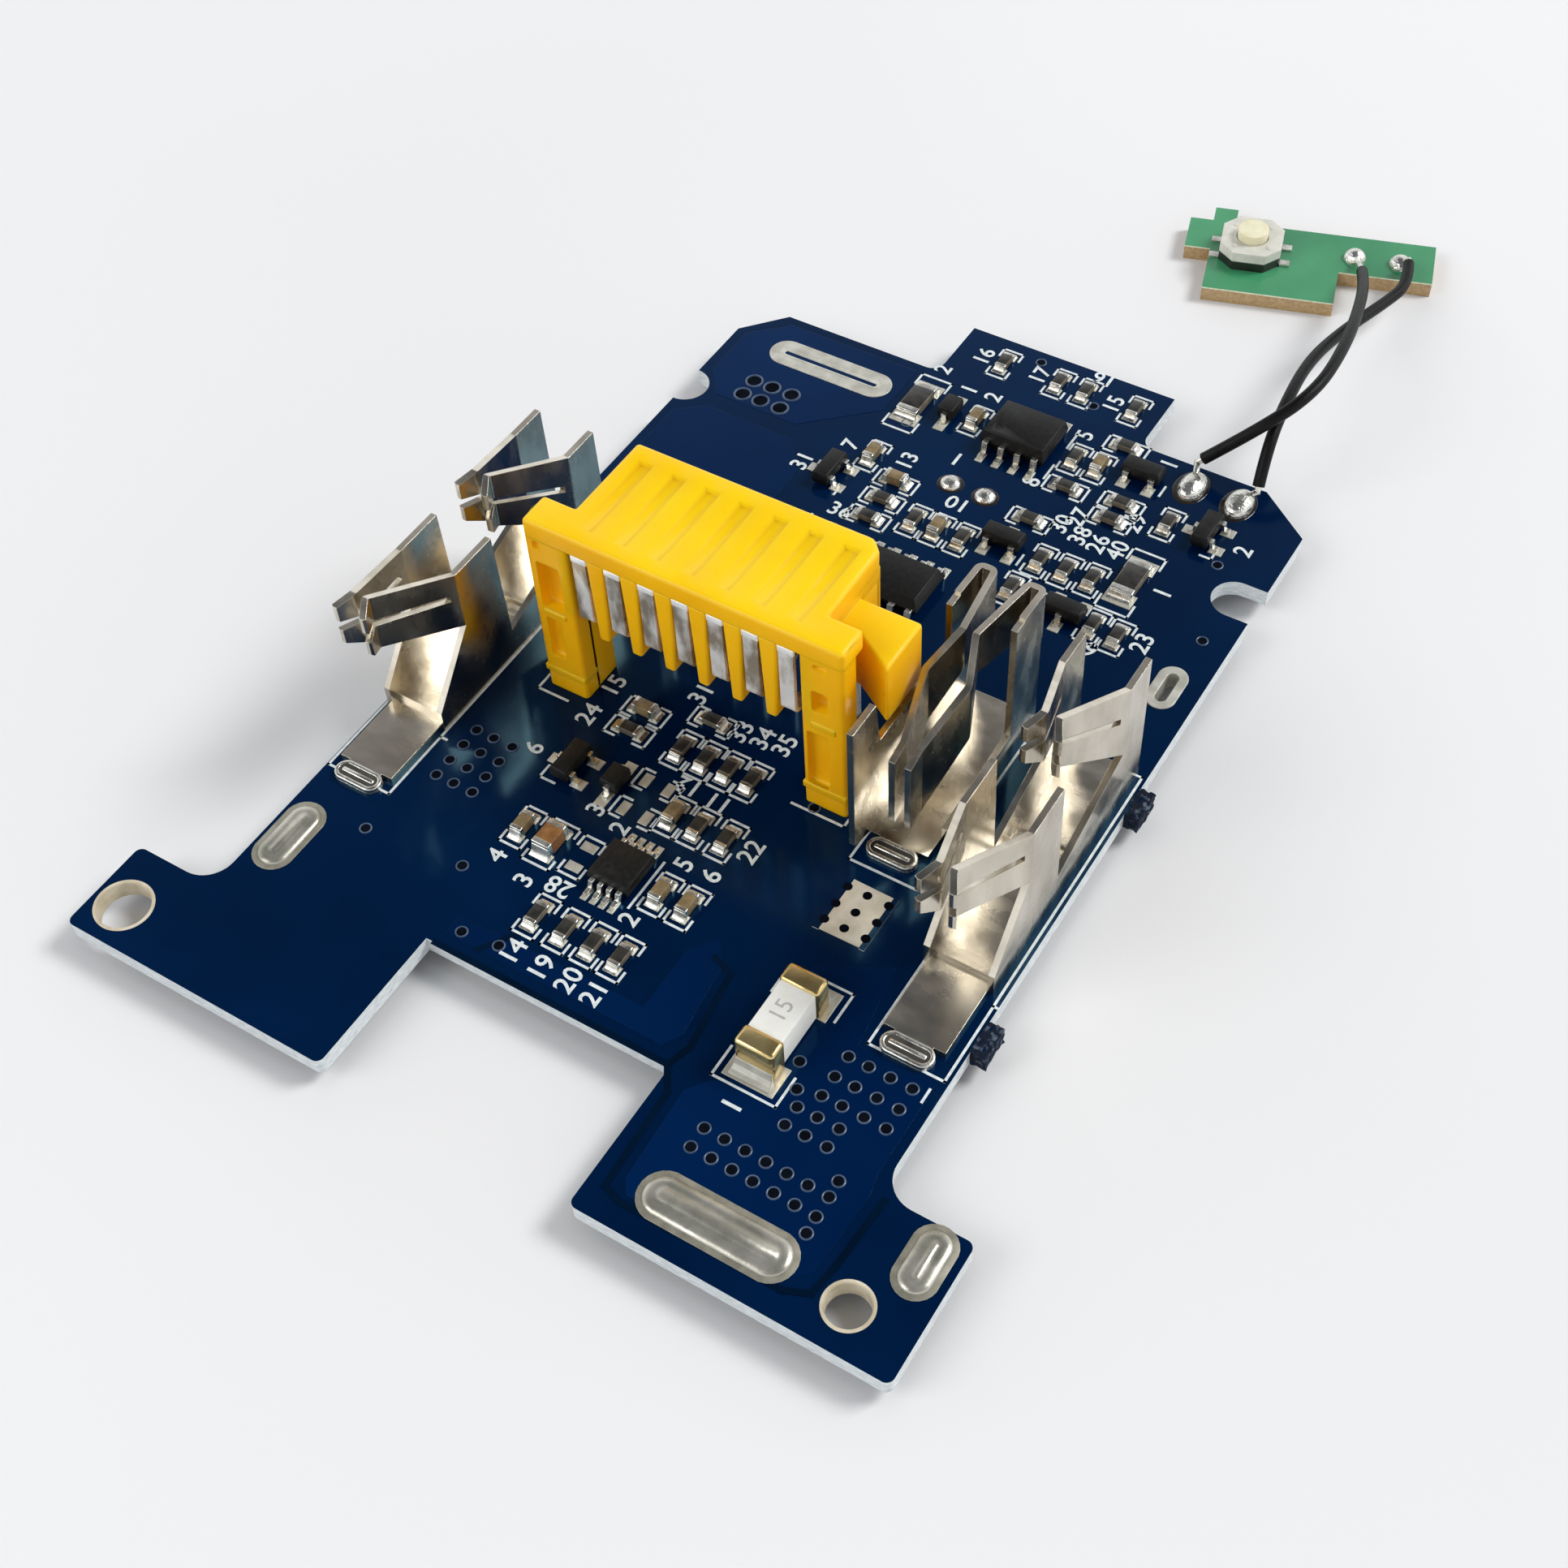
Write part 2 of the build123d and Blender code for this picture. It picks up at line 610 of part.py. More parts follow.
# Connector housing: slab on a front bar, two legs, comb of fins, right wing
with BuildPart() as connector_housing:
    with BuildSketch(Plane.XY.offset(conn_h - slab_t)):
        with Locations((conn_x, conn_front_y + slab_depth / 2)):
            Rectangle(2 * slab_half, slab_depth)
    extrude(amount=slab_t)
    chamfer(connector_housing.edges().filter_by(Axis.Z).group_by(Axis.Y)[-1].sort_by(Axis.X)[-1], length=corner_cut)
    with Locations((conn_x, conn_front_y, conn_h)):
        Box(2 * leg_out, bar_depth, bar_t, align=(Align.CENTER, Align.MIN, Align.MAX))
    # legs: front plates with a web behind their inner edges
    with Locations(*[(conn_x + s * leg_x, conn_front_y, 0) for s in (-1, 1)]):
        Box(leg_w, leg_depth, conn_h, align=(Align.CENTER, Align.MIN, Align.MIN))
    with Locations(*[(conn_x + s * (leg_out - leg_w + web_w / 2), conn_front_y + leg_depth, 0) for s in (-1, 1)]):
        Box(web_w, web_depth - leg_depth, conn_h - slab_t, align=(Align.CENTER, Align.MIN, Align.MIN))
    # rear wall behind the contact tails
    with Locations((conn_x, conn_back_y, conn_h - slab_t)):
        Box(2 * slab_half, rear_wall_t, conn_h - slab_t - fin_bottom_z, align=(Align.CENTER, Align.MAX, Align.MAX))
    # side cheeks of the contact chamber
    with Locations(*[(conn_x + s * (slab_half - web_w / 4), conn_front_y, conn_h - slab_t) for s in (-1, 1)]):
        Box(web_w / 2, slab_depth, conn_h - slab_t - fin_bottom_z - 1, align=(Align.CENTER, Align.MIN, Align.MAX))
    # room for the contacts' front folds under the bar
    with Locations((conn_x, conn_front_y, conn_h - bar_t)):
        Box(contact_pitch * contact_n, bar_depth, slab_t - bar_t, align=(Align.CENTER, Align.MIN, Align.MAX),
            mode=Mode.SUBTRACT)
    # fins between the contacts, tapering to rounded tips
    with BuildSketch(Plane.XZ.offset(-conn_front_y - fit_clearance)):
        with BuildLine():
            Polyline((-fin_w / 2, conn_h - bar_t), (-fin_tip_w / 2, fin_bottom_z + fin_tip_w / 2))
            ThreePointArc((-fin_tip_w / 2, fin_bottom_z + fin_tip_w / 2), (0, fin_bottom_z),
                          (fin_tip_w / 2, fin_bottom_z + fin_tip_w / 2))
            Polyline((fin_tip_w / 2, fin_bottom_z + fin_tip_w / 2), (fin_w / 2, conn_h - bar_t),
                     (-fin_w / 2, conn_h - bar_t))
        fin_face = make_face(mode=Mode.PRIVATE)
        with Locations(*[(x + contact_pitch / 2, 0) for x in contact_xs[:-1]]):
            add(fin_face)
    extrude(amount=-fin_depth)
    # grooves in the top over the contacts
    with Locations(*[(x, 0, 0) for x in contact_xs]):
        add(groove.part, mode=Mode.SUBTRACT)
    # wing on the right, with a slanted front
    with BuildSketch(Plane.XY.offset(wing_top_z)):
        with BuildLine():
            Polyline(
                (conn_x + slab_half, conn_front_y + bar_depth + wing_notch),
                (conn_x + slab_half + wing_notch, conn_front_y + bar_depth + wing_notch),
                (conn_x + slab_half + wing_reach, conn_front_y + bar_depth - wing_slant),
                (conn_x + slab_half + wing_reach, conn_front_y + bar_depth + wing_depth),
                (conn_x + slab_half, conn_front_y + bar_depth + wing_depth),
                close=True,
            )
        make_face()
    extrude(amount=-wing_t)
    # fronts of the legs: small upper recess, deep window, lower recess
    for middle, recesses in ((conn_x - leg_x, left_leg_recesses), (conn_x + leg_x, right_leg_recesses)):
        for shift, z, width, height, depth in recesses:
            with Locations((middle + shift, conn_front_y, z)):
                Box(width, depth, height, align=(Align.CENTER, Align.MIN, Align.CENTER), mode=Mode.SUBTRACT)
    # pegs through the board
    with Locations(*[(conn_x + s * leg_x, conn_front_y + leg_depth / 2 + fit_clearance, 0) for s in (-1, 1)]):
        Cylinder(min(peg_r, leg_depth / 2) - 2 * fit_clearance, board_t + tail_reach,
                 align=(Align.CENTER, Align.CENTER, Align.MAX))
write(connector_housing.part, "connector_housing")

# Contacts: bent strip, folded at the top, down the front, back under and down through the board
with BuildPart() as connector_contacts:
    with BuildLine() as contact_path:
        front = FilletPolyline(
            (0, contact_front_y + contact_fold_l, contact_top_z - contact_t / 2),
            (0, contact_front_y, contact_top_z - contact_t / 2),
            (0, contact_front_y, contact_top_z - contact_drop),
            (0, contact_front_y + contact_slope[0], contact_top_z - contact_drop - contact_slope[1]),
            radius=contact_top_r,
        )
        Polyline(
            front @ 1,
            (0, contact_tail_y, contact_top_z - contact_drop + contact_slope[2]),
            (0, contact_tail_y, contact_t),
        )
    with BuildSketch(Plane.XZ.offset(-contact_front_y - contact_fold_l)):
        with Locations((0, contact_top_z - contact_t / 2)):
            Rectangle(contact_w, contact_t)
    sweep(path=contact_path.wire(), transition=Transition.RIGHT)
    with Locations((0, contact_tail_y, contact_t)):
        Box(contact_tail_w, contact_t, board_t + tail_reach + contact_t,
            align=(Align.CENTER, Align.CENTER, Align.MAX))
contact = connector_contacts.part
with BuildPart() as connector_contacts:
    for x in contact_xs:
        add(Pos(x, 0, 0) * contact)
write(connector_contacts.part, "connector_contacts")


# Spring sheet: a bent band seen from above, cut to its side outline
def bent_band(plan_points, bend_r, side_points):
    """Band of sheet along plan_points, kept where the side outline (y, z) covers it."""
    with BuildPart() as band:
        with BuildSketch(Plane.XY):
            with BuildLine() as line:
                FilletPolyline(*plan_points, radius=bend_r)
            trace(line_width=sheet_t)
        extrude(amount=max(z for y, z in side_points) + 1)
        with BuildSketch(Plane.YZ):
            with BuildLine():
                Polyline(*side_points, close=True)
            make_face()
        extrude(amount=4 * terminal_half, both=True, mode=Mode.INTERSECT)
    return band.part


def spring_arm(half, fold_y, foot_z, top_z):
    """One arm from its fold in the wall, inwards and forwards to the pinch, then flared."""
    outer = half - sheet_t / 2
    pinch_x = pinch_gap / 2 + sheet_t / 2
    pinch_y = fold_y - arm_reach
    tip_y = pinch_y - flare_l
    pinch_top = top_z + arm_rise
    pinch_foot = pinch_top - pinch_h
    tip_top = pinch_top - flare_drop
    arm = bent_band(
        [(outer, fold_y + arm_root_l), (outer, fold_y), (pinch_x, pinch_y), (pinch_x + flare_out, tip_y)],
        arm_bend_r,
        [(fold_y + arm_root_l, foot_z), (fold_y + arm_root_l, top_z), (fold_y, top_z), (pinch_y, pinch_top),
         (tip_y, tip_top), (tip_y, tip_top - flare_h), (pinch_y, pinch_foot), (fold_y, foot_z)],
    )
    # slit that splits the arm into two tongues, open at the tip
    slit_in = ((foot_z + top_z) / 2 + arm_slit_rise, (pinch_top + pinch_foot) / 2, tip_top - flare_h / 2)
    with BuildPart() as slit_arm:
        add(arm)
        with BuildSketch(Plane.YZ):
            with BuildLine():
                Polyline(
                    (fold_y - arm_slit_back, slit_in[0] + arm_slit_w / 2),
                    (pinch_y, slit_in[1] + arm_slit_w / 2),
                    (tip_y - 1, slit_in[2] + arm_slit_w),
                    (tip_y - 1, slit_in[2] - arm_slit_w),
                    (pinch_y, slit_in[1] - arm_slit_w / 2),
                    (fold_y - arm_slit_back, slit_in[0] - arm_slit_w / 2),
                    close=True,
                )
            make_face()
        extrude(amount=2 * half, both=True, mode=Mode.SUBTRACT)
    return slit_arm.part


def side_wall(half, outline):
    """Flat wall of sheet on the +X side, from its (y, z) outline."""
    with BuildPart() as wall:
        with BuildSketch(Plane.YZ.offset(half - sheet_t)):
            with BuildLine():
                Polyline(*outline, close=True)
            make_face()
        extrude(amount=sheet_t)
    return wall.part


def tail_and_tongue(half_tongue, front_y_, back_y_):
    """Tongue on the board, its narrow end bent down through the tail slot."""
    with BuildPart() as tongue:
        with BuildSketch(Plane.XY):
            with Locations((0, (front_y_ + tail_slot_w / 2 + fit_clearance + back_y_) / 2)):
                Rectangle(2 * half_tongue, back_y_ - front_y_ - tail_slot_w / 2 - fit_clearance)
            with Locations((0, front_y_ - sheet_t / 2)):
                Rectangle(tail_w, back_y_ - front_y_, align=(Align.CENTER, Align.MIN))
        extrude(amount=sheet_t)
        with Locations((0, front_y_, 0)):
            Box(tail_w, sheet_t, board_t + tail_reach, align=(Align.CENTER, Align.CENTER, Align.MAX))
        bend = tongue.edges().filter_by(Axis.X).group_by(Axis.Y)[0].sort_by(Axis.Z)[-1]
        fillet(bend, radius=sheet_t * 0.8)
    return tongue.part


# Power terminals: base with two walls, each wall with two facets that fold into arms
front_fold, rear_fold = facet_y
wall_outline = [
    (wall_start_y, 0),
    (wall_start_y, wall_start_h),
    (front_fold, facet_foot_z[0]),
    (front_fold, facet_top_z),
    (front_fold + facet_l[0], facet_top_z),
    (front_fold + facet_l[0] + 0.3, saddle_z),
    (rear_fold, facet_foot_z[1]),
    (rear_fold, facet_top_z),
    (rear_fold + facet_l[1], facet_top_z),
    (wall_end_y, 0),
]
wall = side_wall(terminal_half, wall_outline)
front_arm = spring_arm(terminal_half, front_fold, facet_foot_z[0], facet_top_z)
rear_arm = spring_arm(terminal_half, rear_fold, facet_foot_z[1], facet_top_z)
tongue = tail_and_tongue(tongue_w / 2, tail_y, tongue_end_y)
with BuildPart() as power_terminal:
    add(wall)
    add(front_arm)
    add(rear_arm)
    mirror(about=Plane.YZ)
    add(tongue)
    with BuildSketch(Plane.XY):
        with Locations((0, tongue_end_y - 0.2)):
            Rectangle(2 * terminal_half - sheet_t, wall_end_y - tongue_end_y, align=(Align.CENTER, Align.MIN))
    extrude(amount=sheet_t)
    # step behind the tongue and pressed ribs across the base
    with Locations((0, tongue_end_y, sheet_t)):
        Box(2 * terminal_half - sheet_t, sheet_t, sheet_t, align=(Align.CENTER, Align.CENTER, Align.MIN))
    with BuildSketch(Plane.XY.offset(sheet_t)):
        with Locations(*[(0, y) for y in base_rib_y]):
            Rectangle(2 * terminal_half - sheet_t, base_rib_w)
    extrude(amount=base_rib_h, taper=30)
write(Pos(terminal_left_x, 0, 0) * power_terminal.part, "left_terminal")
write(Pos(terminal_right_x, 0, 0) * power_terminal.part, "right_terminal")

# Inner terminal: rear walls fold round into two strips that pinch twice
inner_outer = inner_half - sheet_t / 2
inner_front_y = inner_tail_y - 1.05
inner_rear_y = inner_wall_end_y - inner_rear_l
inner_pinch_y = inner_wall_end_y - inner_pinch_reach
strip = bent_band(
    [
        (inner_outer, inner_rear_y + 1),
        (inner_outer, inner_wall_end_y),
        (inner_outer - inner_loop_w, inner_wall_end_y),
        (pinch_gap / 2 + sheet_t / 2, inner_pinch_y),
        (pinch_gap / 2 + sheet_t / 2 + inner_loop_w, inner_pinch_y - inner_bulge_l),
        (pinch_gap / 2 + sheet_t / 2 + 0.1, inner_front_y + inner_tip_l[1]),
        (pinch_gap / 2 + sheet_t / 2 + 0.1, inner_front_y + inner_tip_l[0]),
    ],
    inner_tip_r,
    [
        (inner_wall_end_y + 1, inner_top_z - 4),
        (inner_wall_end_y + 1, inner_top_z),
        (inner_pinch_y, inner_top_z + inner_strip_tops[0]),
        (inner_pinch_y - inner_bulge_l, inner_top_z + inner_strip_tops[1]),
        (inner_front_y + inner_tip_l[1], inner_top_z + inner_strip_tops[2]),
        (inner_front_y + 1.5, inner_top_z + inner_strip_tops[3]),
        (inner_front_y + 1.5, inner_strip_feet[0]),
        (inner_front_y + inner_tip_l[1], inner_strip_feet[1]),
        (inner_pinch_y - inner_bulge_l, inner_strip_feet[2]),
        (inner_pinch_y, inner_top_z - 3.0),
    ],
)
inner_wall = side_wall(
    inner_half,
    [
        (inner_front_y + inner_foot_l, 0),
        (inner_front_y + inner_foot_l, inner_wall_foot[0]),
        (inner_rear_y, inner_wall_foot[1]),
        (inner_rear_y, inner_top_z),
        (inner_wall_end_y - inner_tip_r, inner_top_z),
        (inner_wall_end_y - inner_tip_r, 0),
    ],
)
inner_facet = side_wall(
    inner_half,
    [
        (inner_front_y, 1.0),
        (inner_front_y, inner_top_z),
        (inner_front_y + inner_facet_l, inner_top_z),
        (inner_front_y + inner_facet_l + 0.4, inner_mid_z),
        (inner_rear_y, inner_mid_z),
        (inner_rear_y, 0),
        (inner_front_y + inner_foot_l, 0),
    ],
)
inner_tongue = tail_and_tongue(tongue_w / 2, inner_tail_y, inner_front_y + 4)
with BuildPart() as inner_terminal:
    add(strip)
    add(inner_wall)
    mirror(about=Plane.YZ)
    add(mirror(inner_facet, about=Plane.YZ, mode=Mode.PRIVATE))
    add(inner_tongue)
    with BuildSketch(Plane.XY):
        with Locations((0, inner_front_y + 3.8)):
            Rectangle(2 * inner_half - sheet_t, inner_wall_end_y - inner_front_y - 4.2,
                      align=(Align.CENTER, Align.MIN))
    extrude(amount=sheet_t)
write(Pos(inner_x, 0, 0) * inner_terminal.part, "inner_terminal")

# Solder round the tails, flush under the tongues
with BuildPart() as terminal_solder:
    for x, y in ((terminal_left_x, tail_y), (terminal_right_x, tail_y), (inner_x, inner_tail_y)):
        with BuildSketch(Plane.XY.offset(bottom_z - solder_below)):
            with Locations((x, y)):
                SlotOverall(tail_slot_l, tail_slot_w)
        extrude(amount=board_t + solder_below)
        with BuildSketch(Plane.XY):
            with Locations((x, y)):
                SlotOverall(tail_slot_l, tail_slot_w)
        extrude(amount=solder_above)
        with Locations((x, y - sheet_t / 2, 0)):
            Box(tail_w, tail_slot_w, 1, align=(Align.CENTER, Align.MIN, Align.MIN), mode=Mode.SUBTRACT)
        with Locations((x, y, 0)):
            Box(tail_w, sheet_t, 4 * board_t, mode=Mode.SUBTRACT)
write(terminal_solder.part, "terminal_solder")

# Thermistor: bead under the board, two leads up through it, joints on top
bead_z = bottom_z - bead_r - fit_clearance
bead_x = (bead_joints[0][0] + bead_joints[1][0]) / 2
bead_y = bead_joints[0][1]
with BuildPart() as thermistor_bead:
    with BuildSketch(Plane.YZ.offset(bead_x)):
        with Locations((bead_y, bead_z)):
            Circle(bead_r)
    extrude(amount=(bead_joints[1][0] - bead_joints[0][0] - bead_lead_d) / 2 - bead_gap, both=True)
write(thermistor_bead.part, "thermistor_bead")
with BuildPart() as thermistor_leads:
    with Locations(*[(x, y, 0) for x, y in bead_joints]):
        Cylinder(bead_lead_d / 2, bead_r - bead_z, align=(Align.CENTER, Align.CENTER, Align.MAX))
write(thermistor_leads.part, "thermistor_leads")
with BuildPart() as thermistor_joints:
    with Locations(*[(x, y, 0) for x, y in bead_joints]):
        Cone(bead_joint_r, bead_joint_r * 0.7, bead_joint_r * 0.5, align=(Align.CENTER, Align.CENTER, Align.MIN))
write(thermistor_joints.part, "thermistor_joints")

# Leads, their solder blobs and bare ends
with BuildPart() as wire_blobs:
    for x, y in (blob_1, blob_2):
        with BuildSketch(Plane.XY):
            with Locations((x, y)):
                SlotOverall(blob_l, 2 * blob_r, rotation=90)
        extrude(amount=blob_r * 0.8, taper=30)
write(wire_blobs.part, "wire_blobs")


def corner_radii(route):
    """Radius at each inner point: 0.45 of the shorter run over the tangent of half the turn."""
    points = [Vector(*p) for p in route]
    radii = []
    for a, b, c in zip(points, points[1:], points[2:]):
        turn = math.radians((b - a).get_angle(c - b))
        radii.append(0.45 * min((b - a).length, (c - b).length) / math.tan(turn / 2))
    return radii


def lead_tube(route, name):
    radii = corner_radii(route)
    start = Vector(*route[0])
    with BuildPart() as tube:
        with BuildLine() as path:
            FilletPolyline(*route, radius=radii)
        with BuildSketch(Plane(start, z_dir=Vector(*route[1]) - start)):
            Circle(wire_d / 2)
        sweep(path=path.wire())
    length = path.wire().length
    print(name, "radii", [round(r, 1) for r in radii], "length", round(length, 2),
          "volume ratio", round(tube.part.volume / (math.pi * wire_d**2 / 4 * length), 4))
    write(tube.part, name)


lead_tube(route_a, "lead_a")
lead_tube(route_b, "lead_b")


def bare_end(tip, beyond, target):
    """Bare core from a lead's end face down into its joint."""
    direction = (Vector(*tip) - Vector(*beyond)).normalized()
    with BuildPart() as core:
        with BuildLine() as path:
            Polyline(Vector(*tip), Vector(*tip) + direction * core_d, Vector(*target))
        with BuildSketch(Plane(Vector(*tip), z_dir=direction)):
            Circle(core_d / 2)
        sweep(path=path.wire(), transition=Transition.RIGHT)
    return core.part


joint_z = rest_z + key_t + core_sink
joint_1 = key_plane.from_local_coords(Vector(key_joint_1[0], key_joint_1[1], 0))
joint_2 = key_plane.from_local_coords(Vector(key_joint_2[0], key_joint_2[1], 0))
bare_parts = [
    bare_end(route_a[0], route_a[1], (blob_1[0], blob_1[1] + core_target[0], core_target[1])),
    bare_end(route_b[0], route_b[1], (blob_2[0], blob_2[1] + core_target[0], core_target[1])),
    bare_end(route_a[-1], route_a[-2], (joint_1.X, joint_1.Y, joint_z)),
    bare_end(route_b[-1], route_b[-2], (joint_2.X, joint_2.Y, joint_z)),
]
with BuildPart() as key_joints:
    for x, y in (key_joint_1, key_joint_2):
        with BuildSketch(key_plane):
            with Locations((x, y)):
                Circle(joint_r)
        extrude(amount=joint_h, taper=30)
with BuildPart() as lead_ends:
    for bare in bare_parts:
        add(bare)
    add(wire_blobs.part, mode=Mode.SUBTRACT)
    add(key_joints.part, mode=Mode.SUBTRACT)
write(key_joints.part, "key_joints")
write(lead_ends.part, "lead_ends")

# Switch board
with BuildPart() as switch_board:
    with BuildSketch(key_plane):
        with BuildLine():
            Polyline(
                (0, 0),
                (key_step_l, 0),
                (key_step_l, -key_step_y),
                (key_step_end, -key_step_y),
                (key_step_end, -key_front),
                (key_l, -key_front),
                (key_l, key_back),
                (key_bump[1], key_back),
                (key_bump[1], key_bump[2]),
                (key_bump[0], key_bump[2]),
                (key_bump[0], key_back),
                (0, key_back),
                close=True,
            )
        make_face()
    extrude(amount=-key_t)
write(switch_board.part, "switch_board")

# Push switch: moulded octagon with a chamber, four metal legs, snap disc, plunger
switch_plane = Plane(key_plane.from_local_coords(Vector(key_switch[0], key_switch[1], 0)),
                     x_dir=key_plane.x_dir, z_dir=(0, 0, 1))
chamber_floor = 0.3
flange_z = chamber_floor + dome_t + plunger_travel + plunger_clearance
chamber_top = flange_z + plunger_flange_t + plunger_clearance / 2
with BuildPart() as tact_base:
    with BuildSketch(switch_plane):
        Rectangle(tact_across, tact_across)
        chamfer(vertices(), length=tact_corner)
    extrude(amount=tact_h)
    with BuildSketch(switch_plane.offset(chamber_floor)):
        Circle(plunger_flange_r + plunger_clearance)
    extrude(amount=chamber_top - chamber_floor, mode=Mode.SUBTRACT)
    with BuildSketch(switch_plane.offset(chamber_top)):
        Circle(plunger_r + plunger_clearance)
    extrude(amount=tact_h, mode=Mode.SUBTRACT)
write(tact_base.part, "tact_base")
with BuildPart() as tact_legs:
    for s in (-1, 1):
        for y in (-tact_leg_y, tact_leg_y):
            with BuildSketch(switch_plane):
                with Locations((s * (tact_across / 2 + tact_leg_out / 2), y)):
                    Rectangle(tact_leg_out, tact_leg_w)
            extrude(amount=lead_t)
write(tact_legs.part, "tact_legs")
with BuildPart() as switch_dome:
    with BuildSketch(switch_plane.offset(chamber_floor)):
        Circle(dome_r)
    extrude(amount=dome_t)
write(switch_dome.part, "switch_dome")
with BuildPart() as switch_plunger:
    with BuildSketch(switch_plane.offset(flange_z)):
        Circle(plunger_flange_r)
    extrude(amount=plunger_flange_t)
    with BuildSketch(switch_plane.offset(flange_z)):
        Circle(plunger_r)
    extrude(amount=plunger_top - flange_z)
write(switch_plunger.part, "switch_plunger")
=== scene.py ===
import math

import bpy
from mathutils import Matrix, Vector


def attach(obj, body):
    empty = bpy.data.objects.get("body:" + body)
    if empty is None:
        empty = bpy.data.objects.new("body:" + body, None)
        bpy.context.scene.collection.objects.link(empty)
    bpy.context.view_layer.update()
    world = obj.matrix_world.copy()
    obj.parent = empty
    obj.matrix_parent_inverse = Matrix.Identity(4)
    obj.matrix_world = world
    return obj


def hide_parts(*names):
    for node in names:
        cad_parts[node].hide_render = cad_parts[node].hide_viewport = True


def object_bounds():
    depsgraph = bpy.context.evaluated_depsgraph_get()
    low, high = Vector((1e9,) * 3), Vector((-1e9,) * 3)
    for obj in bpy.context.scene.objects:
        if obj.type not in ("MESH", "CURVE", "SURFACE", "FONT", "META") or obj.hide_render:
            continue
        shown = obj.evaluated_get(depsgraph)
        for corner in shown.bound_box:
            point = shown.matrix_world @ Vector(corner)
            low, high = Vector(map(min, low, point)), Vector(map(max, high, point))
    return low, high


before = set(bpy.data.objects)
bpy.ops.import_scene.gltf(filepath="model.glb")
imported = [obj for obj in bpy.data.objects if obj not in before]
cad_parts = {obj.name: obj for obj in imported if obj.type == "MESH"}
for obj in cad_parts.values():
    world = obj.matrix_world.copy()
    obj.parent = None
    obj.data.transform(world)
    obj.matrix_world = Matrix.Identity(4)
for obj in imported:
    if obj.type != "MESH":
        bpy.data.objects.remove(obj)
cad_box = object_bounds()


# The studio: the board lies on a pale matt table, lit by a soft key lamp behind its right edge
# and a weaker fill from the front left. The sky is bright near the horizon and dark overhead,
# which keeps the solder mask deep. The camera looks over the right foot.
mm = 0.001
scene = bpy.context.scene
scene.view_settings.view_transform = "Standard"
floor_z = cad_box[0][2]
camera_place = Vector((76.166, -40.503, 103.069)) * mm
camera_right = Vector((0.85005, 0.52530, -0.03826))
camera_up = Vector((-0.39000, 0.67660, 0.62459))
camera_look = Vector((-0.35399, 0.51601, -0.78002))

camera_data = bpy.data.cameras.new("camera")
camera_data.sensor_width = 36
camera_data.lens = 49.17
camera_data.clip_start = 0.005
camera_data.clip_end = 5
camera = bpy.data.objects.new("camera", camera_data)
scene.collection.objects.link(camera)
camera_turn = Matrix((camera_right, camera_up, -camera_look)).transposed()
camera.matrix_world = Matrix.Translation(camera_place) @ camera_turn.to_4x4()
scene.camera = camera


def lamp(name, place, target, size, watts):
    """A square lamp that faces its target."""
    data = bpy.data.lights.new(name, "AREA")
    data.shape = "SQUARE"
    data.size = size
    data.energy = watts
    light = bpy.data.objects.new(name, data)
    scene.collection.objects.link(light)
    light.location = place
    light.rotation_euler = (Vector(target) - Vector(place)).to_track_quat("-Z", "Y").to_euler()


board_middle = (0.025, 0.04, 0)
lamp("lamp_key", (0.85, 0.80, 1.15), board_middle, 0.55, 16.0)
lamp("lamp_fill", (-0.75, -0.95, 1.00), board_middle, 0.80, 7.0)

world = bpy.data.worlds.new("sky")
scene.world = world
world.use_nodes = True
sky_tree = world.node_tree
sky = sky_tree.nodes["Background"]
sky_way = sky_tree.nodes.new("ShaderNodeTexCoord")
sky_height = sky_tree.nodes.new("ShaderNodeSeparateXYZ")
sky_band = sky_tree.nodes.new("ShaderNodeValToRGB")
sky_tree.links.new(sky_way.outputs["Generated"], sky_height.inputs["Vector"])
sky_tree.links.new(sky_height.outputs["Z"], sky_band.inputs["Fac"])
sky_tree.links.new(sky_band.outputs["Color"], sky.inputs["Color"])
sky_stops = sky_band.color_ramp.elements
sky_stops[0].position = 0.36
sky_stops[0].color = (1.1, 1.12, 1.14, 1)
sky_stops[1].position = 0.86
sky_stops[1].color = (0.09, 0.10, 0.115, 1)
for position, level in ((0.52, 0.85), (0.68, 0.48), (0.78, 0.15)):
    stop = sky_stops.new(position)
    stop.color = (level, level, level * 1.04, 1)


def shader(name, roughness, metallic=0.0, **sockets):
    """A new material with its Principled shader, plain numbers set on the shader's own sockets."""
    material = bpy.data.materials.new(name)
    material.use_nodes = True
    tree = material.node_tree
    principled = tree.nodes["Principled BSDF"]
    principled.inputs["Roughness"].default_value = roughness
    principled.inputs["Metallic"].default_value = metallic
    for socket, value in sockets.items():
        principled.inputs[socket.replace("_", " ")].default_value = value
    return material, tree, principled


def noise(tree, scale, detail=4.0, stretch=(1, 1, 1)):
    """Noise in object space; the scale counts features per metre."""
    place = tree.nodes.new("ShaderNodeTexCoord")
    spread = tree.nodes.new("ShaderNodeMapping")
    spread.inputs["Scale"].default_value = stretch
    cloud = tree.nodes.new("ShaderNodeTexNoise")
    cloud.inputs["Scale"].default_value = scale
    cloud.inputs["Detail"].default_value = detail
    tree.links.new(place.outputs["Object"], spread.inputs["Vector"])
    tree.links.new(spread.outputs["Vector"], cloud.inputs["Vector"])
    return cloud.outputs["Fac"]


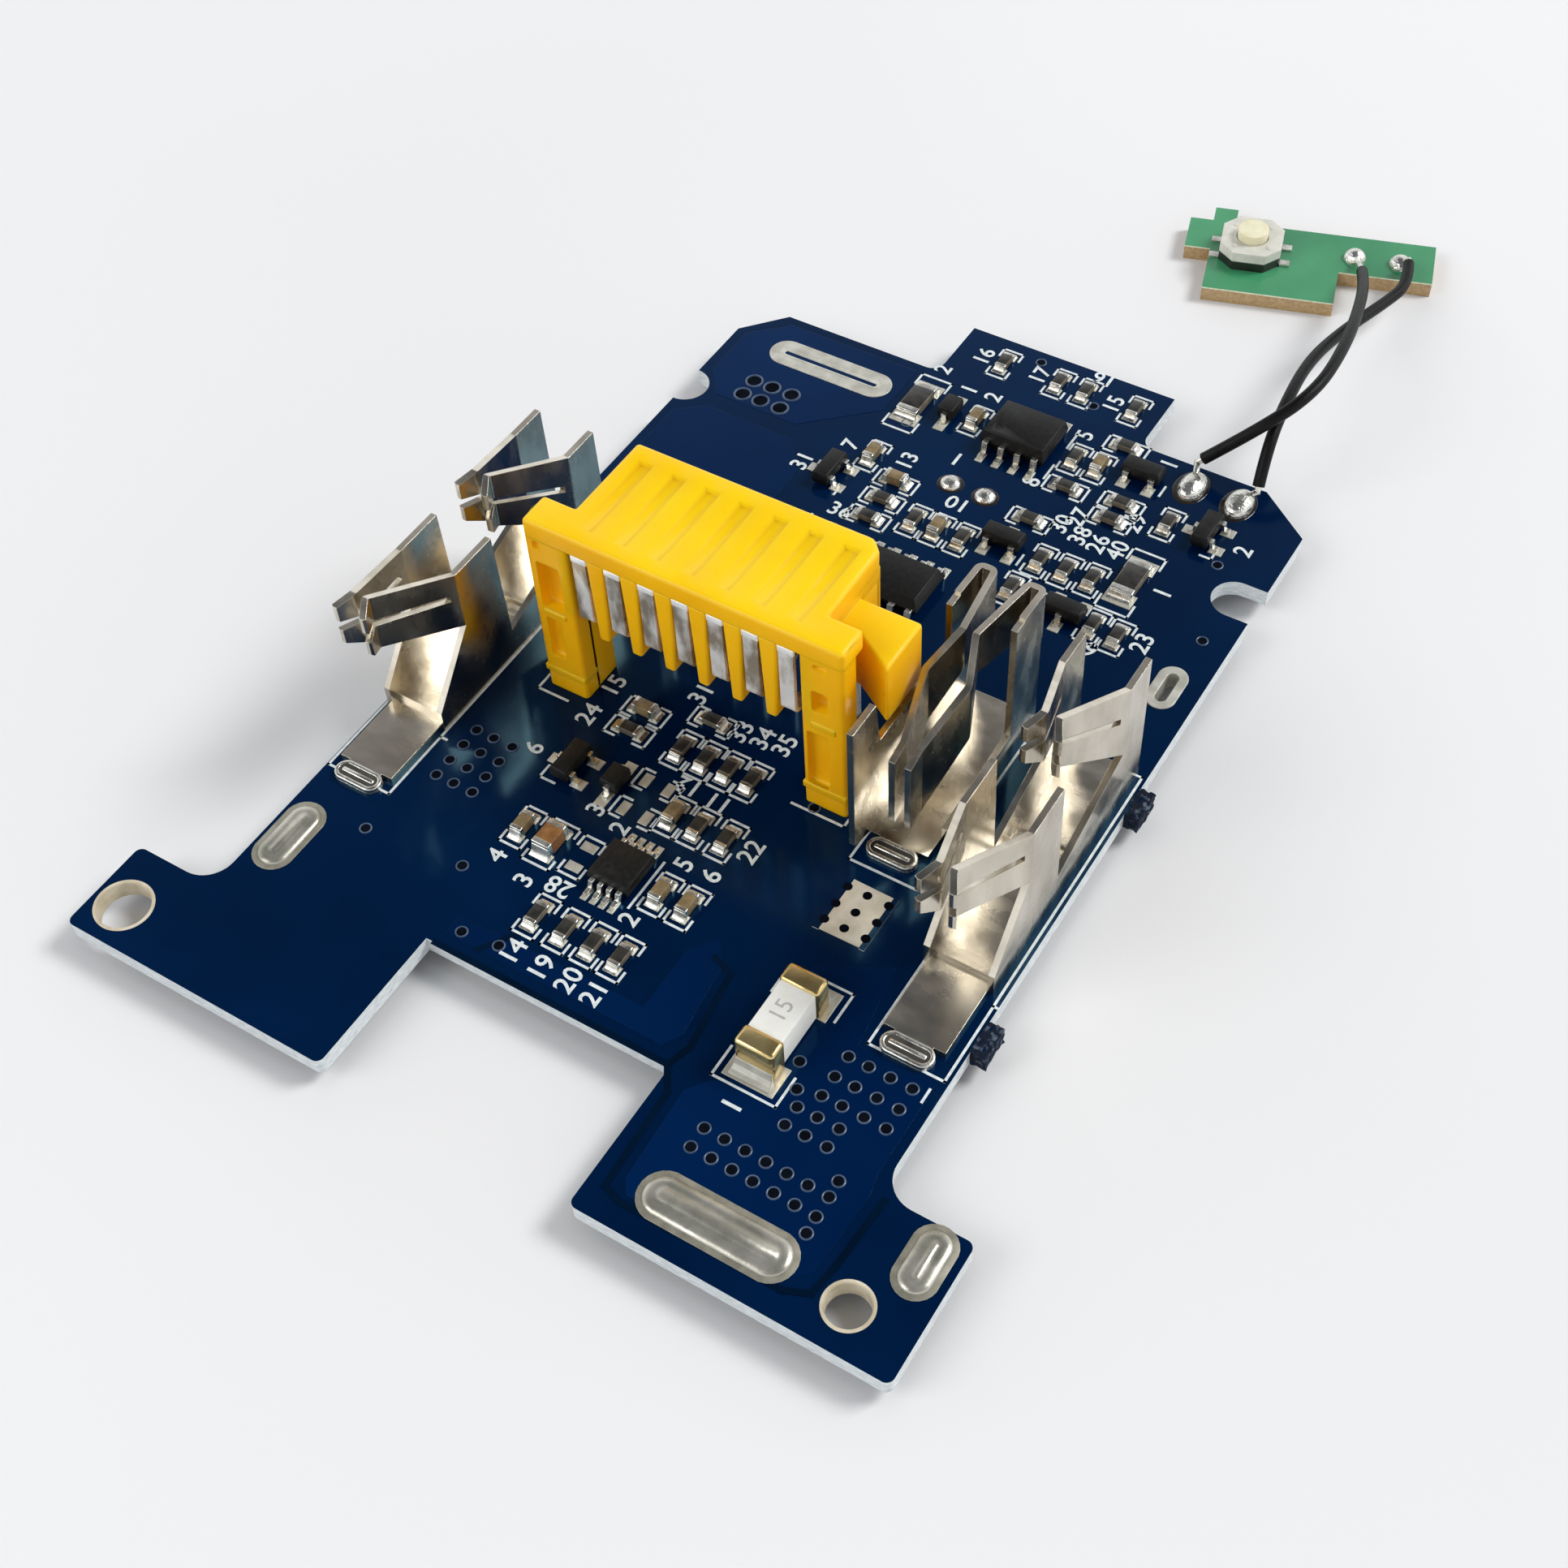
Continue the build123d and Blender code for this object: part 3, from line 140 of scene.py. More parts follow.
def ramp(tree, factor, low, high, at=(0.35, 0.65)):
    """Colour that runs from low to high as the factor passes the two stops."""
    band = tree.nodes.new("ShaderNodeValToRGB")
    band.color_ramp.elements[0].position = at[0]
    band.color_ramp.elements[1].position = at[1]
    band.color_ramp.elements[0].color = (*low, 1)
    band.color_ramp.elements[1].color = (*high, 1)
    tree.links.new(factor, band.inputs["Fac"])
    return band.outputs["Color"]


def colour(tree, principled, scale, low, high, detail=4.0, stretch=(1, 1, 1)):
    """Base colour that wanders between two tones."""
    tone = ramp(tree, noise(tree, scale, detail, stretch), low, high)
    tree.links.new(tone, principled.inputs["Base Color"])


def settle(name):
    """Names the primitive just added."""
    piece = bpy.context.object
    bpy.ops.object.transform_apply(location=True, rotation=True, scale=True)
    piece.name = name
    return piece


floor_paint, tree, principled = shader("studio_floor", 0.8)
colour(tree, principled, 6, (0.80, 0.80, 0.80), (0.84, 0.84, 0.84), 2)
floor_w = 4
bpy.ops.object.select_all(action="DESELECT")
bpy.ops.mesh.primitive_plane_add(size=floor_w, location=(0, 0, floor_z))
floor = settle("studio_floor")
floor.data.materials.append(floor_paint)


# The board: woven glass laminate 1.2 mm thick under glossy blue solder mask, with a pale raw
# edge where it was routed out. Everything else is soldered or pressed into it.
board_t = 1.2


def relief(tree, principled, scale, height, strength=1.0, edge=0.0):
    """Bump of the given height, on softened edges where an edge radius is given."""
    bump = tree.nodes.new("ShaderNodeBump")
    bump.inputs["Strength"].default_value = strength
    bump.inputs["Distance"].default_value = height
    tree.links.new(noise(tree, scale, 5), bump.inputs["Height"])
    if edge:
        soft = tree.nodes.new("ShaderNodeBevel")
        soft.samples = 4
        soft.inputs["Radius"].default_value = edge
        tree.links.new(soft.outputs["Normal"], bump.inputs["Normal"])
    tree.links.new(bump.outputs["Normal"], principled.inputs["Normal"])


def paint(piece, material):
    """Gives the whole piece one material."""
    piece.data.materials.clear()
    piece.data.materials.append(material)
    return piece


def dress(node, material):
    """Gives a carried-over solid its material."""
    paint(bpy.data.objects[node], material)


def by_facing(tree, principled, side, face):
    """Base colour with one tone on upright sides and another on level faces."""
    place = tree.nodes.new("ShaderNodeTexCoord")
    way = tree.nodes.new("ShaderNodeSeparateXYZ")
    tree.links.new(place.outputs["Normal"], way.inputs["Vector"])
    level = tree.nodes.new("ShaderNodeMath")
    level.operation = "ABSOLUTE"
    tree.links.new(way.outputs["Z"], level.inputs[0])
    mix = tree.nodes.new("ShaderNodeMix")
    mix.data_type = "RGBA"
    tree.links.new(level.outputs["Value"], mix.inputs["Factor"])
    tree.links.new(side, mix.inputs[6])
    tree.links.new(face, mix.inputs[7])
    tree.links.new(mix.outputs[2], principled.inputs["Base Color"])


mask_blue = (0.22, 0.72, 1.0, 1)
mask_gloss = {"roughness": 0.12, "Specular_IOR_Level": 0.2, "Specular_Tint": mask_blue}
board_mask, tree, principled = shader("board_mask", **mask_gloss)
face_blue = ramp(tree, noise(tree, 60, 3), (0.0001, 0.0080, 0.038), (0.0002, 0.0120, 0.054))
raw_edge = ramp(tree, noise(tree, 1800, 6, (1, 1, 6)), (0.50, 0.54, 0.55), (0.74, 0.78, 0.79))
by_facing(tree, principled, raw_edge, face_blue)
relief(tree, principled, 420, 0.02 * mm, 0.4)
dress("main_board", board_mask)


# Copper pours under the mask: the metal shows as a brighter blue, one layer of foil higher
# than the bare laminate. The bare gaps between pours are left as darker channels. Flat pieces
# start a hair above the board's face, so that no two faces share a plane.
lift = 0.002
pour_t = 0.02


def draw_out(way):
    """Extrudes what is selected."""
    bpy.ops.mesh.extrude_region_move(TRANSFORM_OT_translate={"value": Vector(way) * mm})


def plate(name, outline, bottom, top):
    """A flat piece with the given (x, y) corners, between two heights."""
    bpy.ops.object.select_all(action="DESELECT")
    bpy.ops.mesh.primitive_circle_add(vertices=len(outline), radius=mm, fill_type="NGON")
    piece = settle(name)
    for corner, (x, y) in zip(piece.data.vertices, outline):
        corner.co = Vector((x, y, bottom)) * mm
    bpy.ops.object.mode_set(mode="EDIT")
    bpy.ops.mesh.select_all(action="SELECT")
    draw_out((0, 0, top - bottom))
    bpy.ops.mesh.select_all(action="SELECT")
    bpy.ops.mesh.normals_make_consistent(inside=False)
    bpy.ops.object.mode_set(mode="OBJECT")
    return piece


def merge(name, pieces):
    """Joins pieces into one object."""
    bpy.ops.object.select_all(action="DESELECT")
    for piece in pieces:
        piece.select_set(True)
    bpy.context.view_layer.objects.active = pieces[0]
    if len(pieces) > 1:
        bpy.ops.object.join()
    pieces[0].name = name
    return pieces[0]


def fit(piece, *nodes):
    """Sets the piece on the board's body, in place of the named solids if there are any."""
    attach(piece, "board")
    if nodes:
        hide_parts(*nodes)


pour_blue, tree, principled = shader("pour_mask", **mask_gloss)
colour(tree, principled, 45, (0.0001, 0.0095, 0.050), (0.0002, 0.0145, 0.072), 3)
relief(tree, principled, 380, 0.02 * mm, 0.4, 0.03 * mm)
pours = []
for outline in (
    ((36.9, 7.6), (38.0, 8.4), (38.0, 17.2), (42.2, 19.4), (42.9, 13.8), (47.9, 13.8), (47.9, 7.4),
     (48.2, 6.0), (47.9, 0.6), (46.6, -0.6), (36.9, -0.6), (36.3, 0.2), (36.0, 6.4)),
    ((18.0, 8.2), (33.3, 8.2), (34.0, 9.4), (33.4, 14.6), (32.2, 16.0), (31.0, 14.4), (31.0, 9.8),
     (18.0, 9.6)),
    ((4.3, 39.0), (13.0, 39.0), (15.5, 42.0), (15.5, 52.0), (13.2, 54.6), (6.2, 54.6), (4.3, 53.0)),
    ((6.0, 56.0), (12.8, 56.0), (17.6, 60.4), (17.6, 65.2), (7.0, 65.2), (4.4, 62.8), (4.4, 58.2)),
):
    pours.append(plate("copper_pour", outline, lift, pour_t))
fit(paint(merge("copper_pours", pours), pour_blue))


def box(name, place, size):
    """A block of the given size round its middle."""
    bpy.ops.object.select_all(action="DESELECT")
    bpy.ops.mesh.primitive_cube_add(size=1, location=Vector(place) * mm, scale=Vector(size) * mm)
    return settle(name)


def stroke(x0, y0, x1, y1, width, height):
    """One flat line, added to the mesh that is open for editing."""
    length = math.hypot(x1 - x0, y1 - y0) + width
    bpy.ops.mesh.primitive_cube_add(
        size=1, location=Vector(((x0 + x1) / 2, (y0 + y1) / 2, height / 2)) * mm,
        rotation=(0, 0, math.atan2(y1 - y0, x1 - x0)), scale=Vector((length, width, height)) * mm)


gap_blue, tree, principled = shader("pour_gap", 0.2, Specular_IOR_Level=0.2, Specular_Tint=mask_blue)
colour(tree, principled, 200, (0.0003, 0.0050, 0.018), (0.0005, 0.0080, 0.028), 3)
gap_w = 0.4
pour_gaps = box("pour_gaps", (34.8, 6.55, pour_t / 2), (0.3, 0.3, pour_t))
bpy.ops.object.mode_set(mode="EDIT")
for route in (
    ((34.3, 7.3), (35.3, 5.8), (35.6, -0.7), (36.7, -1.1), (47.0, -1.0), (48.4, -0.4), (48.7, 1.6),
     (49.0, 6.1)),
    ((32.7, 14.7), (34.1, 14.2), (34.8, 8.9), (34.3, 7.3), (17.9, 7.3)),
    ((21.8, 10.3), (20.4, 8.2)),
):
    for i in range(len(route) - 1):
        stroke(*route[i], *route[i + 1], gap_w, pour_t + 0.004 + 0.001 * i)
bpy.ops.object.mode_set(mode="OBJECT")
fit(paint(pour_gaps, gap_blue))


# Bare laminate in the two screw holes and in the thin rims where the mask stops short of them,
# and the rough blue stubs left on the right edge where the board was snapped out of its panel.


def only(piece):
    """Makes the piece the one selected and active object."""
    bpy.ops.object.select_all(action="DESELECT")
    piece.select_set(True)
    bpy.context.view_layer.objects.active = piece


def modify(piece, kind, **settings):
    """Adds a modifier with its settings and applies it."""
    only(piece)
    change = piece.modifiers.new(kind.lower(), kind)
    for setting, value in settings.items():
        setattr(change, setting, value)
    bpy.ops.object.modifier_apply(modifier=change.name)


def cut(piece, other):
    """Takes the shape of the other piece out of this one."""
    modify(piece, "BOOLEAN", operation="DIFFERENCE", object=other)
    bpy.data.objects.remove(other)
    return piece


def rod(name, place, radius, height, sides=24):
    """An upright cylinder round its middle."""
    bpy.ops.object.select_all(action="DESELECT")
    bpy.ops.mesh.primitive_cylinder_add(vertices=sides, radius=radius * mm, depth=height * mm,
                                        location=Vector(place) * mm)
    return settle(name)


def ring(name, place, outer, inner, height):
    """A flat ring that stands on the given place."""
    x, y, z = place
    middle = (x, y, z + height / 2)
    return cut(rod(name, middle, outer, height, 48), rod("bore", middle, inner, 3 * height, 48))


rim_tan, tree, principled = shader("bare_rim", 0.55)
colour(tree, principled, 900, (0.52, 0.45, 0.32), (0.72, 0.65, 0.50))
relief(tree, principled, 1500, 0.03 * mm, 0.5)
rims = []
for x, rim_r, hole_r in ((0, 1.88, 1.7), (50.4, 1.5, 1.33)):
    rims.append(ring("rim", (x, 0, lift), rim_r, hole_r, 0.03))
    rims.append(ring("wall", (x, 0, lift - board_t), hole_r - 0.005, hole_r - 0.05, board_t))
fit(paint(merge("hole_rims", rims), rim_tan))
snapped, tree, principled = shader("snapped_stub", 0.75, Specular_IOR_Level=0.2)
flecks = ramp(tree, noise(tree, 1900, 6), (0.001, 0.006, 0.020), (0.12, 0.16, 0.21), (0.54, 0.72))
tree.links.new(flecks, principled.inputs["Base Color"])
relief(tree, principled, 2000, 0.15 * mm, 1.0)
stub_x = 48.95
stub_size = (1.04, 2.3, 1.26)
stubs = []
for y in (17.7, 37.1):
    stub = box("stub", (stub_x, y, -board_t / 2), stub_size)
    modify(stub, "SUBSURF", subdivision_type="SIMPLE", levels=3, render_levels=3)
    only(stub)
    bpy.ops.object.mode_set(mode="EDIT")
    bpy.ops.mesh.select_all(action="SELECT")
    bpy.ops.transform.vertex_random(offset=0.1 * mm, seed=len(stubs) + 3)
    bpy.ops.object.mode_set(mode="OBJECT")
    stubs.append(paint(stub, snapped))
fit(merge("edge_stubs", stubs))


# Via holes: plated barrels under the mask that join the copper of both faces, each a small
# raised ring round a dark disc that paints the shade in its hole. Those at the rear left are larger.
via_places = [(x, y) for y in (12.85, 11.35, 9.95) for x in (42.8, 44.1, 45.5, 46.9)]
via_places += [(x, y) for y in (8.65, 7.35) for x in (42.0, 43.3, 44.7)] + [(40.6, 11.2), (41.4, 9.6)]
via_places += [(38.3 + 1.34 * i, y - 0.02 * i) for y in (4.95, 3.6) for i in range(7)]
via_places += [(46.3, 5.9), (46.4, 2.4)]
via_places += [(x, y) for y in (21.65, 20.25, 18.85, 17.45) for x in (10.2, 11.55, 13.0)]
via_places += [(9.0, 11.9), (15.9, 12.6), (18.8, 8.7), (21.3, 9.0)]
via_places += [(46.6, 51.2), (44.6, 57.9), (30.4, 68.0), (25.0, 70.4), (19.7, 60.0), (32.0, 27.0)]
large_places = [(x, y) for y in (58.5, 56.9) for x in (7.82, 9.34, 10.98)]
# The holes are dark discs: painted shade standing in for the unlit inside of each hole.
hole_shade, tree, principled = shader("via_hole_shade", 0.9, Specular_IOR_Level=0.05)
colour(tree, principled, 800, (0.001, 0.002, 0.005), (0.003, 0.005, 0.010))
ring_blue, tree, principled = shader("via_ring", 0.3, Specular_IOR_Level=0.5)
colour(tree, principled, 900, (0.030, 0.062, 0.125), (0.075, 0.115, 0.190))
relief(tree, principled, 1200, 0.02 * mm, 0.4)


def set_down(piece, x, y, turned):
    """Turns a piece modelled at the origin and moves it to its place on the board."""
    turn = Matrix.Rotation(math.radians(turned), 4, "Z")
    piece.data.transform(Matrix.Translation(Vector((x, y, 0)) * mm) @ turn)


def copies(master, name, places):
    """Copies of a piece modelled at the origin, one at each (x, y, turn), joined into one piece."""
    made = []
    for x, y, turned in places:
        twin = bpy.data.objects.new(name, master.data.copy())
        scene.collection.objects.link(twin)
        set_down(twin, x, y, turned)
        made.append(twin)
    bpy.data.objects.remove(master)
    return merge(name, made)


def via(name, radius, rim):
    """One via at the origin: on each face of the board its masked ring and a dark disc of painted shade for
    its hole.
    """
    halves = []
    for z in (pour_t, -board_t - pour_t):
        bpy.ops.object.select_all(action="DESELECT")
        bpy.ops.mesh.primitive_torus_add(major_radius=radius * mm, minor_radius=rim * mm, major_segments=24,
                                         minor_segments=8, location=(0, 0, z * mm))
        halves.append(paint(settle(name), ring_blue))
        halves.append(paint(rod("via_hole", (0, 0, z), radius - rim * 0.4, 0.04, 20), hole_shade))
    return merge(name, halves)


fit(copies(via("via", 0.36, 0.06), "vias", [(x, y, 0) for x, y in via_places]))
fit(copies(via("large_via", 0.6, 0.09), "large_vias", [(x, y, 0) for x, y in large_places]))


# Printed marks: white ink in thin lines. Brackets hold each chip, frames hold the terminals,
# and every part has a plain number beside it.
ink_w = 0.16
ink_t = 0.04
ink, tree, principled = shader("white_ink", 0.55)
colour(tree, principled, 2600, (0.60, 0.66, 0.68), (0.82, 0.88, 0.88))


def brackets(x, y, half_w, half_l, leg, across=False):
    """A pair of open brackets round a chip, their backs at its two ends."""
    for end in (-1, 1):
        for (u0, v0), (u1, v1) in (
            ((-half_w, half_l), (half_w, half_l)),
            ((-half_w, half_l), (-half_w, half_l - leg)),
            ((half_w, half_l), (half_w, half_l - leg)),
        ):
            if across:
                stroke(x + v0 * end, y + u0, x + v1 * end, y + u1, ink_w, ink_t)
            else:
                stroke(x + u0, y + v0 * end, x + u1, y + v1 * end, ink_w, ink_t)


resistors_along = (
    (22.75, 68.95), (27.2, 68.95), (29.3, 68.95), (33.2, 68.95), (31.75, 62.45), (40.1, 59.75),
    (25.0, 51.65), (28.7, 51.65), (34.2, 52.45), (36.1, 52.45), (38.0, 52.55), (39.9, 48.85),
    (41.7, 48.75), (33.7, 49.25), (22.4, 26.8), (24.2, 26.8), (25.9, 26.8), (27.6, 26.8),
    (26.7, 22.15), (28.7, 22.15), (22.0, 11.85), (24.1, 11.85), (26.1, 11.85), (28.0, 11.85),
)
resistors_across = (
    (34.35, 65.2), (32.5, 59.55), (36.55, 59.95), (36.55, 58.2), (22.1, 52.35), (22.1, 50.35),
    (31.8, 55.55), (18.7, 26.45), (22.9, 29.65),
)
capacitors_along = (
    (23.85, 62.55), (33.6, 62.45), (19.3, 55.85), (26.8, 51.65), (24.9, 22.15), (17.4, 16.85),
    (27.5, 16.85), (29.4, 16.85),
)
capacitors_across = ((22.05, 54.35), (18.7, 28.25))
big_capacitor_place = (19.6, 16.65)
shunts = ((19.3, 62.15), (40.3, 53.65))
bare_pads_across = ((22.7, 23.65), (22.7, 21.15))
bare_pads_along = ((21.8, 16.75),)
fuse_x = 38.87
fuse_y = 12.27
chip_bracket = (0.78, 1.52, 0.8)
# (x, y) of both ends of the lines that frame the terminals and mark off other parts
frame_lines = (
    (3.75, 14.75, 8.55, 14.75), (3.75, 14.75, 3.75, 38.0), (8.55, 14.75, 8.55, 34.35),
    (8.55, 20.05, 9.0, 20.05), (43.3, 14.15, 48.2, 14.15), (43.3, 14.15, 43.3, 39.05),
    (48.2, 14.15, 48.2, 39.05), (43.3, 39.05, 48.2, 39.05), (48.2, 19.85, 48.5, 19.85),
    (47.75, 12.4, 47.75, 13.3), (35.8, 24.75, 40.7, 24.75), (35.8, 24.75, 35.8, 40.15),
    (40.7, 24.75, 40.7, 40.15), (35.8, 40.15, 40.7, 40.15), (11.5, 26.55, 13.8, 26.55),
    (11.5, 26.55, 11.5, 28.0), (30.6, 26.65, 34.3, 26.65), (34.3, 26.65, 34.3, 28.4),
    (26.35, 18.9, 26.35, 15.1), (30.75, 59.7, 30.75, 61.2), (30.75, 63.2, 30.75, 64.8),
    (18.6, 42.2, 18.6, 48.8), (15.9, 20.6, 15.9, 21.6), (15.9, 20.6, 17.0, 20.6),
    (38.4, 62.0, 38.4, 63.0), (33.0, 51.4, 33.0, 52.4), (44.0, 58.2, 44.0, 59.0),
    (43.2, 58.2, 44.0, 58.2), (36.0, 50.0, 37.0, 50.0), (18.9, 51.2, 18.9, 52.2),
)

marks = box("printed_marks", (11.5, 26.55, ink_t / 2), (ink_w, ink_w, ink_t))
bpy.ops.object.mode_set(mode="EDIT")
for x, y in resistors_along + capacitors_along + bare_pads_along:
    brackets(x, y, *chip_bracket)
for x, y in resistors_across + capacitors_across + bare_pads_across:
    brackets(x, y, *chip_bracket, across=True)
brackets(*big_capacitor_place, 1.0, 1.75, 0.7)
for x, y in shunts:
    brackets(x, y, 1.2, 3.0, 1.1)
brackets(fuse_x, fuse_y, 2.1, 4.25, 2.1)
for x0, y0, x1, y1 in frame_lines:
    stroke(x0, y0, x1, y1, ink_w, ink_t)
bpy.ops.object.mode_set(mode="OBJECT")

# (number, x, y, turn) of the printed numbers
numbers = (
    (14, 22.3, 9.1, 90), (19, 24.4, 9.0, 90), (20, 26.3, 9.1, 90), (21, 28.1, 9.1, 90),
    (4, 17.3, 14.3, 90), (3, 19.8, 13.6, 90), (28, 21.9, 14.3, 180), (2, 26.9, 14.4, 90),
    (5, 27.5, 19.4, 90), (6, 29.4, 19.5, 90), (22, 30.5, 22.2, 90), (3, 20.5, 20.2, 90),
    (2, 22.6, 19.7, 90), (12, 24.4, 24.6, 180), (11, 26.7, 24.4, 180), (6, 14.3, 22.3, 90),
    (24, 15.7, 26.3, 90), (15, 15.7, 29.1, 90), (31, 21.0, 31.3, 90), (33, 24.9, 29.9, 90),
    (34, 26.4, 30.1, 90), (35, 27.9, 30.3, 90), (7, 17.4, 56.1, 90), (13, 21.7, 56.6, 90),
    (31, 15.3, 53.0, 90), (36, 20.1, 50.0, 0), (10, 26.8, 54.6, 180), (1, 24.6, 58.5, 180),
    (2, 19.2, 66.3, 90), (1, 21.9, 65.3, 90), (2, 23.8, 65.4, 90), (16, 21.1, 69.0, 90),
    (17, 25.6, 69.1, 90), (16, 29.8, 71.0, 180), (15, 31.6, 68.9, 90), (5, 31.3, 65.0, 90),
    (8, 30.2, 59.0, 90), (1, 37.7, 65.2, 90), (2, 45.6, 59.9, 90), (30, 33.9, 56.3, 90),
    (38, 35.5, 55.9, 90), (26, 36.9, 55.8, 90), (40, 38.3, 55.9, 90), (1, 42.6, 53.8, 90),
    (23, 43.4, 49.1, 90), (9, 40.7, 46.9, 0), (1, 38.9, 6.9, 90), (27, 34.6, 57.4, 90),
    (29, 38.2, 58.8, 90),
)
digit_h = 1.75
digit_bold = 0.028
digits = [marks]
for number, x, y, turned in numbers:
    bpy.ops.object.select_all(action="DESELECT")
    bpy.ops.object.text_add(location=Vector((x, y, ink_t)) * mm, rotation=(0, 0, math.radians(turned)))
    label = bpy.context.object
    label.data.body = str(number)
    label.data.size = digit_h * mm
    label.data.align_x = "CENTER"
    label.data.align_y = "CENTER"
    label.data.offset = digit_bold * mm
    label.data.resolution_u = 3
    bpy.ops.object.convert(target="MESH")
    digits.append(settle("printed_number"))
fit(paint(merge("printed_marks", digits), ink))


# Solder and tin on lands, joints, leads and end caps: soft bright metal with a slightly
# pitted skin, cooled in place.


def gloss(tree, principled, scale, low, high, stretch=(1, 1, 1)):
    """Roughness that wanders between two values."""
    reach = tree.nodes.new("ShaderNodeMapRange")
    reach.inputs["From Min"].default_value = 0.3
    reach.inputs["From Max"].default_value = 0.7
    reach.inputs["To Min"].default_value = low
    reach.inputs["To Max"].default_value = high
    tree.links.new(noise(tree, scale, 5, stretch), reach.inputs["Value"])
    tree.links.new(reach.outputs["Result"], principled.inputs["Roughness"])


tin, tree, principled = shader("bright_solder", 0.3, 1.0)
colour(tree, principled, 1300, (0.55, 0.54, 0.48), (0.88, 0.87, 0.80))
gloss(tree, principled, 2500, 0.18, 0.40)
relief(tree, principled, 1800, 0.06 * mm, 0.6, 0.05 * mm)
dull_tin, tree, principled = shader("dull_tin", 0.42, 0.45)
colour(tree, principled, 900, (0.50, 0.49, 0.42), (0.70, 0.69, 0.61))
gloss(tree, principled, 1600, 0.32, 0.50)
relief(tree, principled, 900, 0.06 * mm, 0.6, 0.12 * mm)
for node in ("terminal_solder", "lead_ends", "soic16_leads", "soic8_leads", "msop8_leads", "sot23_leads",
             "diode_leads", "thermistor_leads", "tact_legs", "switch_dome"):
    dress(node, tin)
for node in ("slot_plating", "solder_lands"):
    dress(node, dull_tin)


# The three slots filled with solder: a flat tinned rim round the hole, and in it a long bead
# that cooled with a raised back.
# (x, y, length, width, whether it runs along y)
filled_slots = ((42.1, 0.35, 8.3, 1.6, False), (5.25, 9.1, 4.0, 1.2, True), (52.6, 4.15, 3.1, 1.1, True))


def stadium(x, y, length, width, turned=False):
    """Corners of a slot's outline, with half round ends."""
    corners = []
    for i in range(24):
        angle = math.radians(7.5 + 15 * i)
        u = math.cos(angle) * width / 2 + math.copysign((length - width) / 2, math.cos(angle))
        v = math.sin(angle) * width / 2
        corners.append((x - v, y + u) if turned else (x + u, y + v))
    return corners


def pick(piece, test):
    """Opens the piece for editing with the faces selected whose middle and normal pass the test."""
    only(piece)
    bpy.ops.object.mode_set(mode="EDIT")
    bpy.ops.mesh.select_mode(type="FACE")
    bpy.ops.mesh.select_all(action="DESELECT")
    bpy.ops.object.mode_set(mode="OBJECT")
    for face in piece.data.polygons:
        face.select = test(face.center / mm, face.normal)
    bpy.ops.object.mode_set(mode="EDIT")


def close(piece):
    """Ends the editing of a piece."""
    bpy.ops.object.mode_set(mode="OBJECT")
    return piece


def soften(piece, width, segments=2, angle=35):
    """Rounds the sharp edges and shades the rest smooth."""
    modify(piece, "BEVEL", width=width * mm, segments=segments, limit_method="ANGLE",
           angle_limit=math.radians(angle))
    bpy.ops.object.shade_smooth_by_angle(angle=math.radians(50))
    return piece


rim_grey, tree, principled = shader("slot_rim", 0.45, 0.5)
colour(tree, principled, 900, (0.24, 0.23, 0.18), (0.38, 0.36, 0.29))
relief(tree, principled, 900, 0.05 * mm, 0.5)
bead_grey, tree, principled = shader("slot_bead", 0.3, 0.7)
colour(tree, principled, 500, (0.36, 0.35, 0.29), (0.60, 0.58, 0.50))
gloss(tree, principled, 900, 0.22, 0.40)
relief(tree, principled, 500, 0.10 * mm, 0.6)
slot_fills = []
for x, y, length, width, turned in filled_slots:
    rim = plate("slot_rim", stadium(x, y, length + 1.6, width + 1.6, turned), lift, 0.05)
    slot_fills.append(paint(soften(rim, 0.02), rim_grey))
    plug = plate("slot_plug", stadium(x, y, length, width, turned), -board_t, 0.04)
    slot_fills.append(paint(soften(plug, 0.02), rim_grey))
    bead = plate("slot_bead", stadium(x, y, length + 0.9, width + 0.9, turned), 0.01, 0.07)
    pick(bead, lambda centre, normal: normal.z > 0.9)
    for inset, rise in ((0.10, 0.10), (0.2, 0.08), (0.25, 0.03), (0.22, -0.03), (0.1, 0.08)):
        bpy.ops.mesh.inset(thickness=inset * mm, depth=rise * mm)
    close(bead)
    only(bead)
    bpy.ops.object.shade_smooth_by_angle(angle=math.radians(60))
    slot_fills.append(paint(bead, bead_grey))
fit(merge("slot_fills", slot_fills), "slot_solder")


# The joints of the three terminals: each tail stands in a plated slot, where the solder drew up
# into a bright ring and left the tail's end bare in the slit, darkened by a plate of painted shadow.
tail_places = ((6.2, 14.75), (45.5, 14.75), (37.95, 26.15))
# A dark plate in each slot paints the shadow in the slit round the tail.
slot_shadow, tree, principled = shader("tail_slot_shadow", 0.5)
colour(tree, principled, 900, (0.020, 0.018, 0.015), (0.060, 0.055, 0.045))
tail_joints = []
for x, y in tail_places:
    hoop = plate("tail_ring", stadium(x, y, 3.4, 1.5), 0.01, 0.47)
    cut(hoop, plate("slot", stadium(x, y, 2.8, 0.86), -1, 1))
    tail_joints.append(paint(soften(hoop, 0.1, 3), tin))
    tail_joints.append(paint(plate("tail_slot_shadow", stadium(x, y, 2.9, 0.95), 0.2, 0.43), slot_shadow))
    tail_joints.append(paint(soften(box("tail_end", (x, y, 0.4), (2.4, 0.3, 0.16)), 0.06, 2), tin))
fit(merge("tail_joints", tail_joints))


# The long open slot at the rear: its plating ends in a flat tinned lip that leaves only a
# narrow slit through the board.
rear_slot = (11.95, 62.35)
lip = plate("slot_lip", stadium(*rear_slot, 8.4, 1.0), -0.5, 0.056)
cut(lip, plate("slit", stadium(*rear_slot, 7.7, 0.35), -2, 1))
fit(paint(soften(lip, 0.02), dull_tin))
